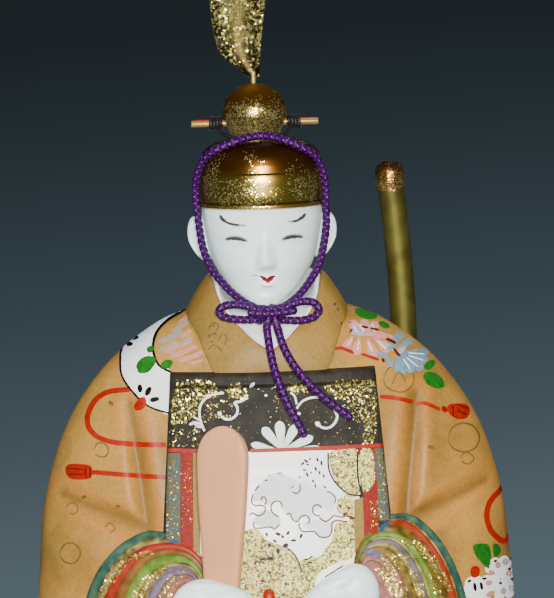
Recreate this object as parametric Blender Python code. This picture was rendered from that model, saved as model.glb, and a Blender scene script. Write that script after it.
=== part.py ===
"""Seated court doll of fired clay: robe shell, head with gilt cap, cords, baton and sword.

+X is the viewer's right, -Y the front, +Z up, and the floor is z = 0.
Right and left in the names are the doll's own: its right hand is at -X.
"""
import math

import bmesh
import bpy
from mathutils import Matrix, Vector

MM = 0.001

# Clearances and cuts
CLEARANCE = 0.35 * MM
RUNNING_CLEARANCE = 0.4 * MM
OVERRUN = 3.0 * MM

# Shading: an edge sharper than this stays hard
HARD_EDGE = math.radians(40.0)
SOFT_HARD_EDGE = math.radians(60.0)
# Superellipse power of a true circle
ROUND = 2.0

# Robe shell: half width, front and back depth, height up to the neck
ROBE_HALF_WIDTH = 78.5 * MM
ROBE_FRONT_DEPTH = 50.0 * MM
ROBE_BACK_DEPTH = 60.0 * MM
ROBE_HEIGHT = 128.0 * MM
ROBE_POWER = 2.3
RELIEF_FADE_POWER = 4
ROBE_SEGMENTS = 60
ROBE_LEVELS = 30
# Rows of height, half width, front depth and back depth, from the floor up
ROBE_ROW_SHARES = (
    (0.000, 0.955, 0.93, 1.000),
    (0.045, 0.994, 0.97, 1.000),
    (0.110, 1.000, 1.00, 0.935),
    (0.205, 1.000, 0.93, 0.840),
    (0.300, 0.991, 0.84, 0.770),
    (0.390, 0.978, 0.785, 0.720),
    (0.470, 0.966, 0.745, 0.685),
    (0.547, 0.943, 0.705, 0.642),
    (0.625, 0.908, 0.668, 0.600),
    (0.688, 0.871, 0.642, 0.567),
    (0.750, 0.820, 0.614, 0.533),
    (0.805, 0.763, 0.586, 0.500),
    (0.860, 0.690, 0.548, 0.458),
    (0.906, 0.611, 0.502, 0.408),
    (0.945, 0.525, 0.442, 0.350),
    (0.977, 0.440, 0.370, 0.283),
    (1.000, 0.344, 0.282, 0.217),
)
# The bent elbow: where its two creases start, meet and end, as shares of half width and height
CREASE_TOP_SHARE = (0.575, 0.79)
CREASE_CORNER_SHARE = (0.513, 0.495)
CREASE_OUTER_SHARE = (0.86, 0.565)
CREASE_DEPTH = 1.7 * MM
CREASE_SPREAD = 2.4 * MM
UPPER_ARM_SWELL = 2.4 * MM
UPPER_ARM_BLEND = 8.0 * MM
FOREARM_SWELL = 7.0 * MM
FOREARM_BLEND = 15.0 * MM
FOREARM_INNER_SHARES = (0.24, 0.46)

# Hollow of the shell, open underneath
HOLLOW_HALF_WIDTH = 62.0 * MM
HOLLOW_FRONT_DEPTH = 37.0 * MM
HOLLOW_BACK_DEPTH = 42.0 * MM
HOLLOW_HEIGHT = 0.65625 * ROBE_HEIGHT
HOLLOW_SEGMENTS = 28
HOLLOW_ROW_SHARES = ((0.0, 1.0), (0.30, 0.95), (0.55, 0.82), (0.78, 0.60), (0.93, 0.34), (1.0, 0.12))

# Chest panel
PANEL_TOP_HALF_WIDTH = 32.2 * MM
PANEL_BOTTOM_HALF_WIDTH = 37.6 * MM
PANEL_BOTTOM = 0.296875 * ROBE_HEIGHT
PANEL_TOP = 0.87109375 * ROBE_HEIGHT
PANEL_PROUD = 2.6 * MM
PANEL_LIP_PROUD = 1.8 * MM
PANEL_LIP_HEIGHT = 4.4 * MM
PANEL_ROOT_DEPTH = 4.0 * MM
PANEL_COLUMNS = 14
PANEL_ROWS = 18

# Head and neck
HEAD_CENTRE_X = -1.3 * MM
HEAD_HALF_WIDTH = 18.6 * MM
HEAD_FRONT_DEPTH = 18.6 * MM
HEAD_BACK_DEPTH = 20.5 * MM
HEAD_GAP = 2.4 * MM
HEAD_BOTTOM = ROBE_HEIGHT + HEAD_GAP
HEAD_HEIGHT = 51.0 * MM
HEAD_SEGMENTS = 32
HEAD_LEVELS = 17
HEAD_POWER = 2.15
# Rows of height, half width, front depth, back depth and forward shift, from the chin up
HEAD_ROW_SHARES = (
    (0.000, 0.22, 0.22, 0.22, 0.62),
    (0.045, 0.36, 0.36, 0.36, 0.52),
    (0.090, 0.52, 0.55, 0.45, 0.36),
    (0.150, 0.67, 0.74, 0.60, 0.18),
    (0.230, 0.83, 0.88, 0.74, 0.06),
    (0.310, 0.92, 0.93, 0.86, 0.00),
    (0.420, 0.985, 0.94, 0.96, 0.00),
    (0.520, 1.000, 0.96, 1.00, 0.00),
    (0.620, 1.000, 0.98, 1.00, 0.00),
    (0.720, 0.960, 0.94, 0.95, 0.00),
    (0.820, 0.870, 0.84, 0.85, 0.00),
    (0.910, 0.690, 0.66, 0.68, 0.00),
    (0.970, 0.450, 0.43, 0.45, 0.00),
    (1.000, 0.150, 0.14, 0.15, 0.00),
)
NOSE_PROUD = 2.8 * MM
NOSE_HALF_WIDTH = 2.6 * MM
NOSE_TIP_SHARE = 0.29
NOSE_TOP_SHARE = 0.50
NOSE_BASE_SHARE = 0.24
NECK_RADIUS = 8.3 * MM
NECK_CENTRE_Y = 3.0 * MM
NECK_BOTTOM = 0.765625 * ROBE_HEIGHT
NECK_ROOT_LENGTH = 9.6 * MM
NECK_TOP = HEAD_BOTTOM + NECK_ROOT_LENGTH
NECK_SEGMENTS = 24
EAR_HALF_LENGTH = 7.6 * MM
EAR_HALF_WIDTH = 3.8 * MM
EAR_HALF_DEPTH = 3.8 * MM
EAR_OUTSET = 1.4 * MM
EAR_HEIGHT_SHARE = 0.404
EAR_CENTRE_Y = 3.5 * MM
EAR_LEAN = math.radians(12.0)
EAR_SEGMENTS = 12

# Cap
CAP_HALF_WIDTH = 20.3 * MM
CAP_FRONT_DEPTH = 21.0 * MM
CAP_BACK_DEPTH = 22.4 * MM
CAP_RIM_SHARE = 0.6137
CAP_RIM = HEAD_BOTTOM + CAP_RIM_SHARE * HEAD_HEIGHT
CAP_HEIGHT = 21.7 * MM
CAP_SEGMENTS = 36
CAP_POWER = 2.15
# Rows of height and size from the rim up: the band, its edge, then the low crown
CAP_ROW_SHARES = (
    (0.000, 0.990),
    (0.060, 1.000),
    (0.490, 0.995),
    (0.510, 0.976),
    (0.640, 0.965),
    (0.760, 0.930),
    (0.845, 0.865),
    (0.910, 0.765),
    (0.955, 0.620),
    (0.986, 0.380),
    (1.000, 0.100),
)

# Topknot case, hairpin and the thread turns on it
CASE_CENTRE_X = -2.6 * MM
CASE_CENTRE_Y = 8.0 * MM
CASE_RADIUS = 10.5 * MM
CASE_SINK = 0.4 * MM
CASE_BOTTOM = CAP_RIM + CAP_HEIGHT - CASE_SINK
CASE_HEIGHT = 17.6 * MM
CASE_SEGMENTS = 28
CASE_LEVELS = 12
# Rows of height and radius
CASE_ROW_SHARES = (
    (0.00, 0.724),
    (0.22, 0.876),
    (0.42, 1.000),
    (0.60, 0.970),
    (0.78, 0.800),
    (0.91, 0.530),
    (0.98, 0.260),
)
HAIRPIN_RADIUS = 1.1 * MM
HAIRPIN_LENGTH = 41.4 * MM
HAIRPIN_HEIGHT = CASE_BOTTOM + 0.2727 * CASE_HEIGHT
HAIRPIN_SEGMENTS = 12
THREAD_RADIUS = 0.55 * MM
THREAD_TURNS = 2
THREAD_PITCH = 1.65 * MM
THREAD_START = 10.9 * MM
THREAD_POINTS_PER_TURN = 10
THREAD_RUN_RADIUS = HAIRPIN_RADIUS + CLEARANCE + 1.25 * THREAD_RADIUS

# Plume: stem in the case, and the gauze tail above it
STEM_RADIUS = 0.8 * MM
STEM_SEAT_HEIGHT = CASE_BOTTOM + 0.5114 * CASE_HEIGHT
STEM_CENTRE_Y = 11.0 * MM
PLUME_GAP = 1.6 * MM
PLUME_BOTTOM = CASE_BOTTOM + CASE_HEIGHT + PLUME_GAP
PLUME_HEIGHT = 50.0 * MM
PLUME_WIDTH = 18.0 * MM
PLUME_THICKNESS = 0.9 * MM
PLUME_CURL = 3.0 * MM
PLUME_LEAN = 7.0 * MM
PLUME_COLUMNS = 6
# Rows of height, left edge and right edge, as shares of the plume's height and width
PLUME_EDGE_SHARES = (
    (0.000, -0.050, 0.100),
    (0.055, -0.250, 0.115),
    (0.155, -0.550, 0.140),
    (0.240, -0.650, 0.160),
    (0.336, -0.700, 0.190),
    (0.500, -0.740, 0.260),
    (0.680, -0.750, 0.290),
    (0.840, -0.680, 0.270),
    (0.940, -0.530, 0.170),
    (1.000, -0.320, 0.010),
)

# Collars: half-ring stations from the front over the side to the back
COLLAR_CENTRE_X = -0.6 * MM
COLLAR_SIDE = 18.8 * MM
COLLAR_REACH = 0.34395 * ROBE_HALF_WIDTH
COLLAR_FRONT = 29.0 * MM
COLLAR_BACK = 21.5 * MM
COLLAR_RISE = 11.5 * MM
COLLAR_PEAK = ROBE_HEIGHT + COLLAR_RISE
COLLAR_NOTCH = 0.91875 * ROBE_HEIGHT
COLLAR_HEM = 0.8515625 * ROBE_HEIGHT
COLLAR_THICKNESS = 1.7 * MM
INNER_COLLAR_THICKNESS = 1.4 * MM
INNER_COLLAR_RISE = 0.7 * MM
COLLAR_STATIONS = 16
# Upper edge: side share, front or back share, height share from notch to peak
COLLAR_EDGE_SHARES = (
    (0.00, -0.97, 0.00),
    (0.20, -0.945, 0.15),
    (0.42, -0.85, 0.35),
    (0.68, -0.65, 0.62),
    (0.88, -0.37, 0.82),
    (1.00, -0.06, 0.93),
    (1.00, 0.28, 0.98),
    (0.80, 0.70, 1.00),
    (0.42, 0.94, 1.00),
    (0.00, 1.00, 1.00),
)
# Lower edge: reach share, front or back share, height share from hem to peak
COLLAR_HEM_SHARES = (
    (0.00, -1.00, 0.00),
    (0.26, -1.00, 0.01),
    (0.50, -0.98, 0.04),
    (0.76, -0.91, 0.16),
    (0.91, -0.66, 0.38),
    (0.99, -0.30, 0.55),
    (1.00, 0.20, 0.52),
    (0.85, 0.72, 0.40),
    (0.45, 1.02, 0.32),
    (0.00, 1.10, 0.30),
)

# Sleeve mouths: a slanted oval of stepped layers, drawn in towards the hand
MOUTH_CENTRE_X = 42.5 * MM
MOUTH_CENTRE_Z = 0.265625 * ROBE_HEIGHT
MOUTH_HALF_WIDTH = 18.5 * MM
MOUTH_HALF_HEIGHT = 28.5 * MM
MOUTH_SLANT = 0.26
MOUTH_INNER_SLANT = 0.14
MOUTH_LAYERS = 5
MOUTH_INNER_SHIFT_X = -11.9 * MM
MOUTH_INNER_SHIFT_Z = 6.0 * MM
MOUTH_INNER_WIDTH_SHARE = 0.27
MOUTH_INNER_HEIGHT_SHARE = 0.49
MOUTH_BASE_PROUD = 1.0 * MM
MOUTH_LAYER_PROUD = 1.0 * MM
MOUTH_POCKET_DEPTH = 4.2 * MM
MOUTH_ROOT_DEPTH = 6.0 * MM
MOUTH_SEGMENTS = 30
MOUTH_FILL_SHARES = (0.15, 0.55, 1.0)

# Hands
HAND_HALF_LENGTH = 12.6 * MM
HAND_HALF_DEPTH = 7.6 * MM
HAND_HALF_HEIGHT = 11.5 * MM
HAND_CENTRE_X = 20.0 * MM
HAND_OFFSET_X = -0.5 * MM
HAND_CENTRE_Y = -52.9 * MM
HAND_HEIGHT = 0.32421875 * ROBE_HEIGHT
HAND_LEAN = math.radians(18.0)
HAND_SEGMENTS = 20
HAND_POWER = 2.4
FINGER_GROOVES = 3
FINGER_GROOVE_DEPTH = 0.5 * MM
FINGER_GROOVE_SPACING = 4.2 * MM
FINGER_GROOVE_WIDTH = 0.9 * MM
FINGER_REACH_SHARE = 0.35

# Sash knot
SASH_KNOT_WIDTH = 5.0 * MM
SASH_KNOT_DEPTH = 7.5 * MM
SASH_KNOT_HEIGHT = 15.0 * MM
SASH_KNOT_SEGMENTS = 12
SASH_KNOT_POWER = 2.8
SASH_KNOT_CENTRE = (-3.6 * MM, -46.5 * MM, 0.3046875 * ROBE_HEIGHT)

# Baton in the right hand
BATON_WIDTH = 16.2 * MM
BATON_THICKNESS = 4.2 * MM
BATON_BOTTOM = 0.28125 * ROBE_HEIGHT
BATON_TOP = 0.76484375 * ROBE_HEIGHT
BATON_CENTRE_X = -18.4 * MM
BATON_CENTRE_Y = -50.6 * MM
BATON_TURN = math.radians(-20.0)
BATON_LEAN = math.radians(2.0)
BATON_RECLINE = math.radians(-6.0)
BATON_ARC_STEPS = 10
# Rows of height and width below the rounded top
BATON_ROW_SHARES = ((0.00, 0.64), (0.20, 0.69), (0.39, 0.79), (0.57, 0.91), (0.72, 0.97), (0.84, 1.00))
BATON_BEVEL = 0.9 * MM
BATON_BEVEL_SEGMENTS = 2

# Sword: scabbard, its end cap and the socket in the shoulder
SWORD_X = 46.4 * MM
SWORD_Y = 26.5 * MM
SWORD_SEAT = 0.4296875 * ROBE_HEIGHT
SWORD_STRAIGHT_TOP = 0.875 * ROBE_HEIGHT
SWORD_TOP = 1.2921875 * ROBE_HEIGHT
SWORD_TOP_OFFSET = -3.7 * MM
SWORD_CURVE_POWER = 1.8
SCABBARD_RADIUS = 4.4 * MM
SCABBARD_POINTS = 12
SCABBARD_SIDES = 16
CHAPE_RADIUS = 4.95 * MM
CHAPE_LENGTH = 7.6 * MM
CHAPE_SIDES = 20
CHAPE_ROW_SHARES = ((0.0, 0.93), (0.10, 1.0), (0.55, 1.0), (0.78, 0.88), (0.93, 0.60), (1.0, 0.25))

# Lap and knees in front of the shell
HAKAMA_HALF_WIDTH = 45.0 * MM
HAKAMA_FRONT_DEPTH = 60.4 * MM
HAKAMA_ROOT_DEPTH = -32.0 * MM
HAKAMA_HEIGHT = 0.25 * ROBE_HEIGHT
HAKAMA_DIP = 4.5 * MM
HAKAMA_DIP_SPREAD = 9.0 * MM
HAKAMA_SEGMENTS = 30
HAKAMA_POWER = 2.6
HAKAMA_ROW_SHARES = ((0.0, 0.97, 0.985), (0.10, 1.0, 1.0), (0.38, 0.90, 0.985), (0.62, 0.74, 0.945),
                     (0.84, 0.58, 0.87), (1.0, 0.36, 0.78))

# Cords
CORD_RADIUS = 1.3 * MM
CORD_SAMPLE = 4.0 * MM
ROUTE_FINENESS = 12
BOW_SAMPLE = 2.0 * MM
KNOT_CENTRE = (0.0 * MM, -24.4 * MM, 1.0078125 * ROBE_HEIGHT)
KNOT_SIZE = (6.4 * MM, 7.0 * MM, 5.8 * MM)
KNOT_SEGMENTS = 16
KNOT_POWER = 3.2
# Hand-chosen points of the chin loop's centre line: x, y and rise above the robe, in millimetres
CHIN_LOOP_ROUTE = (
    (-4.6, -22.6, 2.9), (-9.2, -19.4, 5.2), (-13.9, -15.6, 9.2), (-18.1, -12.0, 14.6), (-20.6, -9.4, 21.0),
    (-21.6, -7.8, 27.4), (-22.3, -6.8, 34.3), (-22.4, -6.5, 36.9), (-22.4, -6.6, 40.0), (-21.9, -8.2, 43.6),
    (-20.8, -9.5, 47.0), (-18.7, -12.0, 50.3), (-15.1, -14.2, 52.7), (-10.1, -14.8, 54.7), (-5.7, -12.9, 55.9),
    (-1.4, -11.2, 56.3), (2.8, -13.2, 55.9), (6.9, -15.7, 54.6), (11.6, -15.5, 52.4), (15.4, -13.5, 49.8),
    (17.5, -11.4, 46.4), (18.5, -10.2, 42.6), (18.9, -9.3, 39.0), (19.0, -9.2, 35.9), (18.9, -8.8, 33.3),
    (18.9, -9.0, 27.4), (17.8, -10.0, 20.8), (15.8, -12.2, 14.4), (12.1, -15.6, 9.0), (7.8, -19.4, 5.0),
    (3.6, -22.6, 2.8),
)
# Points of the bow's loops and tails: x and y in millimetres, and height as a share of the robe's
RIGHT_BOW_ROUTE = (
    (-3.6, -26.4, 1.0203), (-6.5, -26.5, 1.0289), (-10.9, -26.4, 1.0356), (-14.8, -26.0, 1.0329), (-16.2, -25.8, 1.0198),
    (-15.1, -25.8, 1.0072), (-11.1, -26.2, 0.9997), (-6.7, -26.2, 0.9976), (-3.6, -26.0, 0.9972),
)
LEFT_BOW_ROUTE = (
    (3.6, -26.4, 1.0203), (5.9, -26.5, 1.0319), (9.9, -26.4, 1.0394), (13.4, -26.0, 1.0350), (15.0, -25.8, 1.0172),
    (13.5, -25.8, 1.0002), (10.0, -26.2, 0.9931), (6.5, -26.2, 0.9930), (3.6, -26.0, 0.9954),
)
RIGHT_TAIL_ROUTE = (
    (-1.5, -26.6, 0.9812), (-1.0, -29.8, 0.9384), (0.0, -33.4, 0.8933), (1.6, -36.6, 0.8498), (3.6, -37.0, 0.8094),
    (6.6, -37.1, 0.7609), (9.3, -37.4, 0.7179),
)
LEFT_TAIL_ROUTE = (
    (1.9, -26.6, 0.9805), (3.2, -29.8, 0.9384), (6.1, -33.4, 0.8947), (10.4, -36.6, 0.8525), (14.8, -36.6, 0.8169),
    (19.2, -36.2, 0.7872), (23.9, -35.7, 0.7588),
)


def remove_everything():
    """Start from an empty scene."""
    for item in list(bpy.data.objects):
        bpy.data.objects.remove(item, do_unlink=True)


def material(name, colour, roughness, metallic=0.0):
    """A plain Principled material."""
    made = bpy.data.materials.new(name)
    made.use_nodes = True
    shader = made.node_tree.nodes["Principled BSDF"]
    shader.inputs["Base Color"].default_value = (*colour, 1.0)
    shader.inputs["Roughness"].default_value = roughness
    shader.inputs["Metallic"].default_value = metallic
    return made


def add_object(name, data, surface):
    """Link an object that carries one material."""
    made = bpy.data.objects.new(name, data)
    bpy.context.scene.collection.objects.link(made)
    data.materials.append(surface)
    return made


def mesh_object(name, points, faces, surface, sharp=HARD_EDGE):
    """A smooth-shaded mesh object of triangles, so that a piece and its cutter share their facets."""
    data = bpy.data.meshes.new(name)
    data.from_pydata([tuple(point) for point in points], [], faces)
    mesh = bmesh.new()
    mesh.from_mesh(data)
    bmesh.ops.triangulate(mesh, faces=mesh.faces, quad_method="SHORT_EDGE")
    mesh.to_mesh(data)
    mesh.free()
    data.shade_smooth()
    data.set_sharp_from_angle(angle=sharp)
    return add_object(name, data, surface)


def hide_as_cutter(item):
    """Mark an object as a cutter, which is no part of the doll."""
    item.hide_render = True
    item.display_type = "WIRE"
    return item


def cut(target, cutter):
    """Take the cutter's volume away from the target."""
    step = target.modifiers.new("cut_" + cutter.name, "BOOLEAN")
    step.operation = "DIFFERENCE"
    step.solver = "EXACT"
    step.object = cutter


def fuse(target, other):
    """Add the other body's volume to the target."""
    step = target.modifiers.new("fuse_" + other.name, "BOOLEAN")
    step.operation = "UNION"
    step.solver = "EXACT"
    step.object = other


def grown(source, distance, surface):
    """A cutter with the source's own mesh moved outwards by a distance."""
    mesh = bmesh.new()
    mesh.from_mesh(source.data)
    mesh.normal_update()
    moves = [vertex.normal * vertex.calc_shell_factor() * distance for vertex in mesh.verts]
    for vertex, move in zip(mesh.verts, moves):
        vertex.co += move
    data = bpy.data.meshes.new(source.name + "_cutter")
    mesh.to_mesh(data)
    mesh.free()
    return hide_as_cutter(add_object(source.name + "_cutter", data, surface))


def spline_value(rows, place):
    """Smooth value of a table of rows at a place counted in rows."""
    last = len(rows) - 1
    index = min(int(place), last - 1)
    part = place - index
    before = rows[max(index - 1, 0)]
    start = rows[index]
    end = rows[index + 1]
    after = rows[min(index + 2, last)]
    values = []
    for p0, p1, p2, p3 in zip(before, start, end, after):
        slope_in = (p2 - p0) / 2
        slope_out = (p3 - p1) / 2
        a = 2 * (p1 - p2) + slope_in + slope_out
        b = 3 * (p2 - p1) - 2 * slope_in - slope_out
        values.append(((a * part + b) * part + slope_in) * part + p1)
    return tuple(values)


def spline_rows(rows, count):
    """Evenly spread smooth samples of a table of rows."""
    last = len(rows) - 1
    return [spline_value(rows, last * step / (count - 1)) for step in range(count)]


def row_at_height(rows, height):
    """Smooth values of the row table at a height share, which is each row's first value."""
    last = len(rows) - 1
    for index in range(last):
        low, high = rows[index][0], rows[index + 1][0]
        if height <= high or index == last - 1:
            part = min(max((height - low) / (high - low), 0.0), 1.0)
            return spline_value(rows, index + part)
    return rows[last]


def smoothstep(low, high, value):
    """Blend from 0 to 1 between two values."""
    part = min(max((value - low) / (high - low), 0.0), 1.0)
    return part * part * (3 - 2 * part)


def power_point(angle, power):
    """Unit superellipse point at an angle."""
    across = math.copysign(abs(math.cos(angle)) ** (2 / power), math.cos(angle))
    along = math.copysign(abs(math.sin(angle)) ** (2 / power), math.sin(angle))
    return across, along


def oval_ring(centre, half_width, front, back, count, power):
    """Counter-clockwise ring with its own front and back depth."""
    points = []
    for step in range(count):
        across, along = power_point(math.tau * step / count, power)
        depth = back if along > 0 else front
        points.append(Vector((centre[0] + half_width * across, centre[1] + depth * along, centre[2])))
    return points


def loft_faces(ring_count, side_count):
    """Quads between stacked rings, with both ends closed."""
    faces = [tuple(reversed(range(side_count)))]
    for ring in range(ring_count - 1):
        low = ring * side_count
        high = low + side_count
        for side in range(side_count):
            after = (side + 1) % side_count
            faces.append((low + side, low + after, high + after, high + side))
    faces.append(tuple(range((ring_count - 1) * side_count, ring_count * side_count)))
    return faces


def loft(name, rings, surface, sharp=HARD_EDGE):
    """Closed solid through stacked rings."""
    points = [point for ring in rings for point in ring]
    return mesh_object(name, points, loft_faces(len(rings), len(rings[0])), surface, sharp)


def segment_distance(point, start, end):
    """Distance from a point to a straight segment, all in the front plane."""
    along = end - start
    part = (point - start).dot(along) / along.length_squared
    return (point - start - along * min(max(part, 0.0), 1.0)).length


def crease_points():
    """The elbow creases' three points in the front plane, for the +X side."""
    shares = (CREASE_TOP_SHARE, CREASE_CORNER_SHARE, CREASE_OUTER_SHARE)
    return [Vector((across * ROBE_HALF_WIDTH, up * ROBE_HEIGHT)) for across, up in shares]


def robe_relief(x, z):
    """How far the sleeves swell out of the plain robe surface in front."""
    top, corner, outer = crease_points()
    side = Vector((abs(x), z))
    slope = (outer.y - corner.y) / (outer.x - corner.x)
    fold_height = corner.y + slope * max(side.x - corner.x, 0.0)
    below = smoothstep(0.0, FOREARM_BLEND, fold_height - z)
    inner, full = (share * ROBE_HALF_WIDTH for share in FOREARM_INNER_SHARES)
    forearm = FOREARM_SWELL * below * smoothstep(inner, full, side.x)
    lean = (top.x - corner.x) / (top.y - corner.y)
    crease_x = corner.x + lean * (z - corner.y)
    beside = smoothstep(0.0, UPPER_ARM_BLEND, side.x - crease_x)
    above = smoothstep(0.0, UPPER_ARM_BLEND, z - fold_height) * smoothstep(0.0, FOREARM_BLEND, top.y - z)
    distance = min(segment_distance(side, top, corner), segment_distance(side, corner, outer))
    crease = CREASE_DEPTH * math.exp(-(distance / CREASE_SPREAD) ** 2)
    return forearm + UPPER_ARM_SWELL * beside * above - crease


def robe_front(x, z, with_relief=True):
    """Y of the robe's front surface at a place in the front plane."""
    _, width, front, _ = row_at_height(ROBE_ROW_SHARES, z / ROBE_HEIGHT)
    across = min(abs(x) / (width * ROBE_HALF_WIDTH), 1.0)
    depth = front * ROBE_FRONT_DEPTH * (1 - across ** ROBE_POWER) ** (1 / ROBE_POWER)
    fade = 1 - across ** RELIEF_FADE_POWER
    relief = robe_relief(x, z) * fade if with_relief else 0.0
    return -depth - relief


def make_robe(surface, cutter_surface):
    """The clay shell, with its hollow, neck bore and sword socket."""
    rings = []
    for height, width, front, back in spline_rows(ROBE_ROW_SHARES, ROBE_LEVELS):
        half_width = width * ROBE_HALF_WIDTH
        centre = (0.0, 0.0, height * ROBE_HEIGHT)
        ring = oval_ring(centre, half_width, front * ROBE_FRONT_DEPTH, back * ROBE_BACK_DEPTH,
                         ROBE_SEGMENTS, ROBE_POWER)
        for point in ring:
            if point.y < 0:
                fade = 1 - (abs(point.x) / half_width) ** RELIEF_FADE_POWER
                point.y -= robe_relief(point.x, point.z) * fade
        rings.append(ring)
    robe = loft("robe_body", rings, surface)
    envelope = grown(robe, CLEARANCE, cutter_surface)

    hollow_rings = []
    for height, size in HOLLOW_ROW_SHARES:
        low = -OVERRUN if height == 0 else height * HOLLOW_HEIGHT
        hollow_rings.append(oval_ring((0.0, 0.0, low), size * HOLLOW_HALF_WIDTH, size * HOLLOW_FRONT_DEPTH,
                                      size * HOLLOW_BACK_DEPTH, HOLLOW_SEGMENTS, ROBE_POWER))
    hollow = hide_as_cutter(loft("hollow_cutter", hollow_rings, cutter_surface))
    cut(robe, hollow)

    bore_radius = NECK_RADIUS + CLEARANCE + NECK_RADIUS * (1 - math.cos(math.pi / NECK_SEGMENTS))
    bore = cylinder("neck_bore_cutter", (HEAD_CENTRE_X, NECK_CENTRE_Y), bore_radius,
                    NECK_BOTTOM - CLEARANCE, ROBE_HEIGHT + OVERRUN, NECK_SEGMENTS, cutter_surface)
    cut(robe, hide_as_cutter(bore))

    socket_radius = (SCABBARD_RADIUS + RUNNING_CLEARANCE) / math.cos(math.pi / SCABBARD_SIDES)
    socket = cylinder("socket_cutter", (SWORD_X, SWORD_Y), socket_radius,
                      SWORD_SEAT - CLEARANCE, ROBE_HEIGHT, SCABBARD_SIDES, cutter_surface)
    cut(robe, hide_as_cutter(socket))
    return robe, envelope


def cylinder(name, place, radius, low, high, sides, surface):
    """Upright cylinder between two heights."""
    rings = []
    for height in (low, high):
        centre = (place[0], place[1], height)
        rings.append(oval_ring(centre, radius, radius, radius, sides, ROUND))
    return loft(name, rings, surface)


def make_panel(surface):
    """The raised chest panel, with a thicker lip along its top."""
    front, back = [], []
    for row in range(PANEL_ROWS + 1):
        up = row / PANEL_ROWS
        z = PANEL_BOTTOM + up * (PANEL_TOP - PANEL_BOTTOM)
        half = PANEL_BOTTOM_HALF_WIDTH + up * (PANEL_TOP_HALF_WIDTH - PANEL_BOTTOM_HALF_WIDTH)
        lip = PANEL_LIP_PROUD * smoothstep(PANEL_TOP - PANEL_LIP_HEIGHT, PANEL_TOP, z)
        for column in range(PANEL_COLUMNS + 1):
            x = half * (2 * column / PANEL_COLUMNS - 1)
            plain = robe_front(x, z, with_relief=False)
            front.append(Vector((x, plain - PANEL_PROUD - lip, z)))
            back.append(Vector((x, plain + PANEL_ROOT_DEPTH, z)))
    return slab("chest_panel", front, back, PANEL_COLUMNS, PANEL_ROWS, surface)


def slab(name, front, back, columns, rows, surface):
    """Closed solid between a front grid and a back grid, rows upwards and columns to +X."""
    wide = columns + 1
    offset = len(front)
    faces = []
    for row in range(rows):
        for column in range(columns):
            a = row * wide + column
            b, c, d = a + 1, a + wide + 1, a + wide
            faces.append((a, b, c, d))
            faces.append((offset + d, offset + c, offset + b, offset + a))
    for column in range(columns):
        low = column
        high = rows * wide + column
        faces.append((low + 1, low, offset + low, offset + low + 1))
        faces.append((high, high + 1, offset + high + 1, offset + high))
    for row in range(rows):
        left = row * wide
        right = left + columns
        faces.append((left, left + wide, offset + left + wide, offset + left))
        faces.append((right + wide, right, offset + right, offset + right + wide))
    return mesh_object(name, front + back, faces, surface)


def collar_edges():
    """Upper and lower edge points of the full collar ring, front round to front."""
    upper, lower = [], []
    for side, depth, up in spline_rows(COLLAR_EDGE_SHARES, COLLAR_STATIONS):
        reach = COLLAR_FRONT if depth < 0 else COLLAR_BACK
        upper.append(Vector((side * COLLAR_SIDE, depth * reach,
                             COLLAR_NOTCH + up * (COLLAR_PEAK - COLLAR_NOTCH))))
    for side, depth, up in spline_rows(COLLAR_HEM_SHARES, COLLAR_STATIONS):
        reach = COLLAR_FRONT if depth < 0 else COLLAR_BACK
        lower.append(Vector((side * COLLAR_REACH, depth * reach,
                             COLLAR_HEM + up * (COLLAR_PEAK - COLLAR_HEM))))
    stations = []
    for top, low in zip(upper, lower):
        stations.append((top, low))
    for top, low in reversed(list(zip(upper, lower))[1:-1]):
        stations.append((Vector((-top.x, top.y, top.z)), Vector((-low.x, low.y, low.z))))
    shift = Vector((COLLAR_CENTRE_X, 0.0, 0.0))
    return [(top + shift, low + shift) for top, low in stations]


def collar_ring(name, outer_inset, inner_inset, rise, surface):
    """Ring between two insets from the collar's outer surface."""
    stations = collar_edges()
    rings = []
    for index, (top, low) in enumerate(stations):
        ahead = stations[(index + 1) % len(stations)][0]
        behind = stations[index - 1][0]
        along = (ahead - behind).normalized()
        down = (low - top).normalized()
        inward = along.cross(down).normalized()
        if inward.dot(Vector((COLLAR_CENTRE_X, NECK_CENTRE_Y, low.z)) - low) < 0:
            inward.negate()
        lift = Vector((0.0, 0.0, rise))
        middle = (top + low) / 2
        rings.append([
            low + inward * outer_inset,
            middle + inward * outer_inset + lift / 2,
            top + inward * outer_inset + lift,
            top + inward * inner_inset + lift,
            middle + inward * inner_inset + lift / 2,
            low + inward * inner_inset,
        ])
    count = len(rings)
    sides = len(rings[0])
    points = [point for ring in rings for point in ring]
    faces = []
    for ring in range(count):
        following = (ring + 1) % count
        for side in range(sides):
            after = (side + 1) % sides
            faces.append((ring * sides + side, ring * sides + after,
                          following * sides + after, following * sides + side))
    made = mesh_object(name, points, faces, surface)
    return outward(made)


def outward(item):
    """Turn every face of a closed mesh outwards."""
    mesh = bmesh.new()
    mesh.from_mesh(item.data)
    bmesh.ops.recalc_face_normals(mesh, faces=mesh.faces)
    mesh.to_mesh(item.data)
    mesh.free()
    return item


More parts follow.
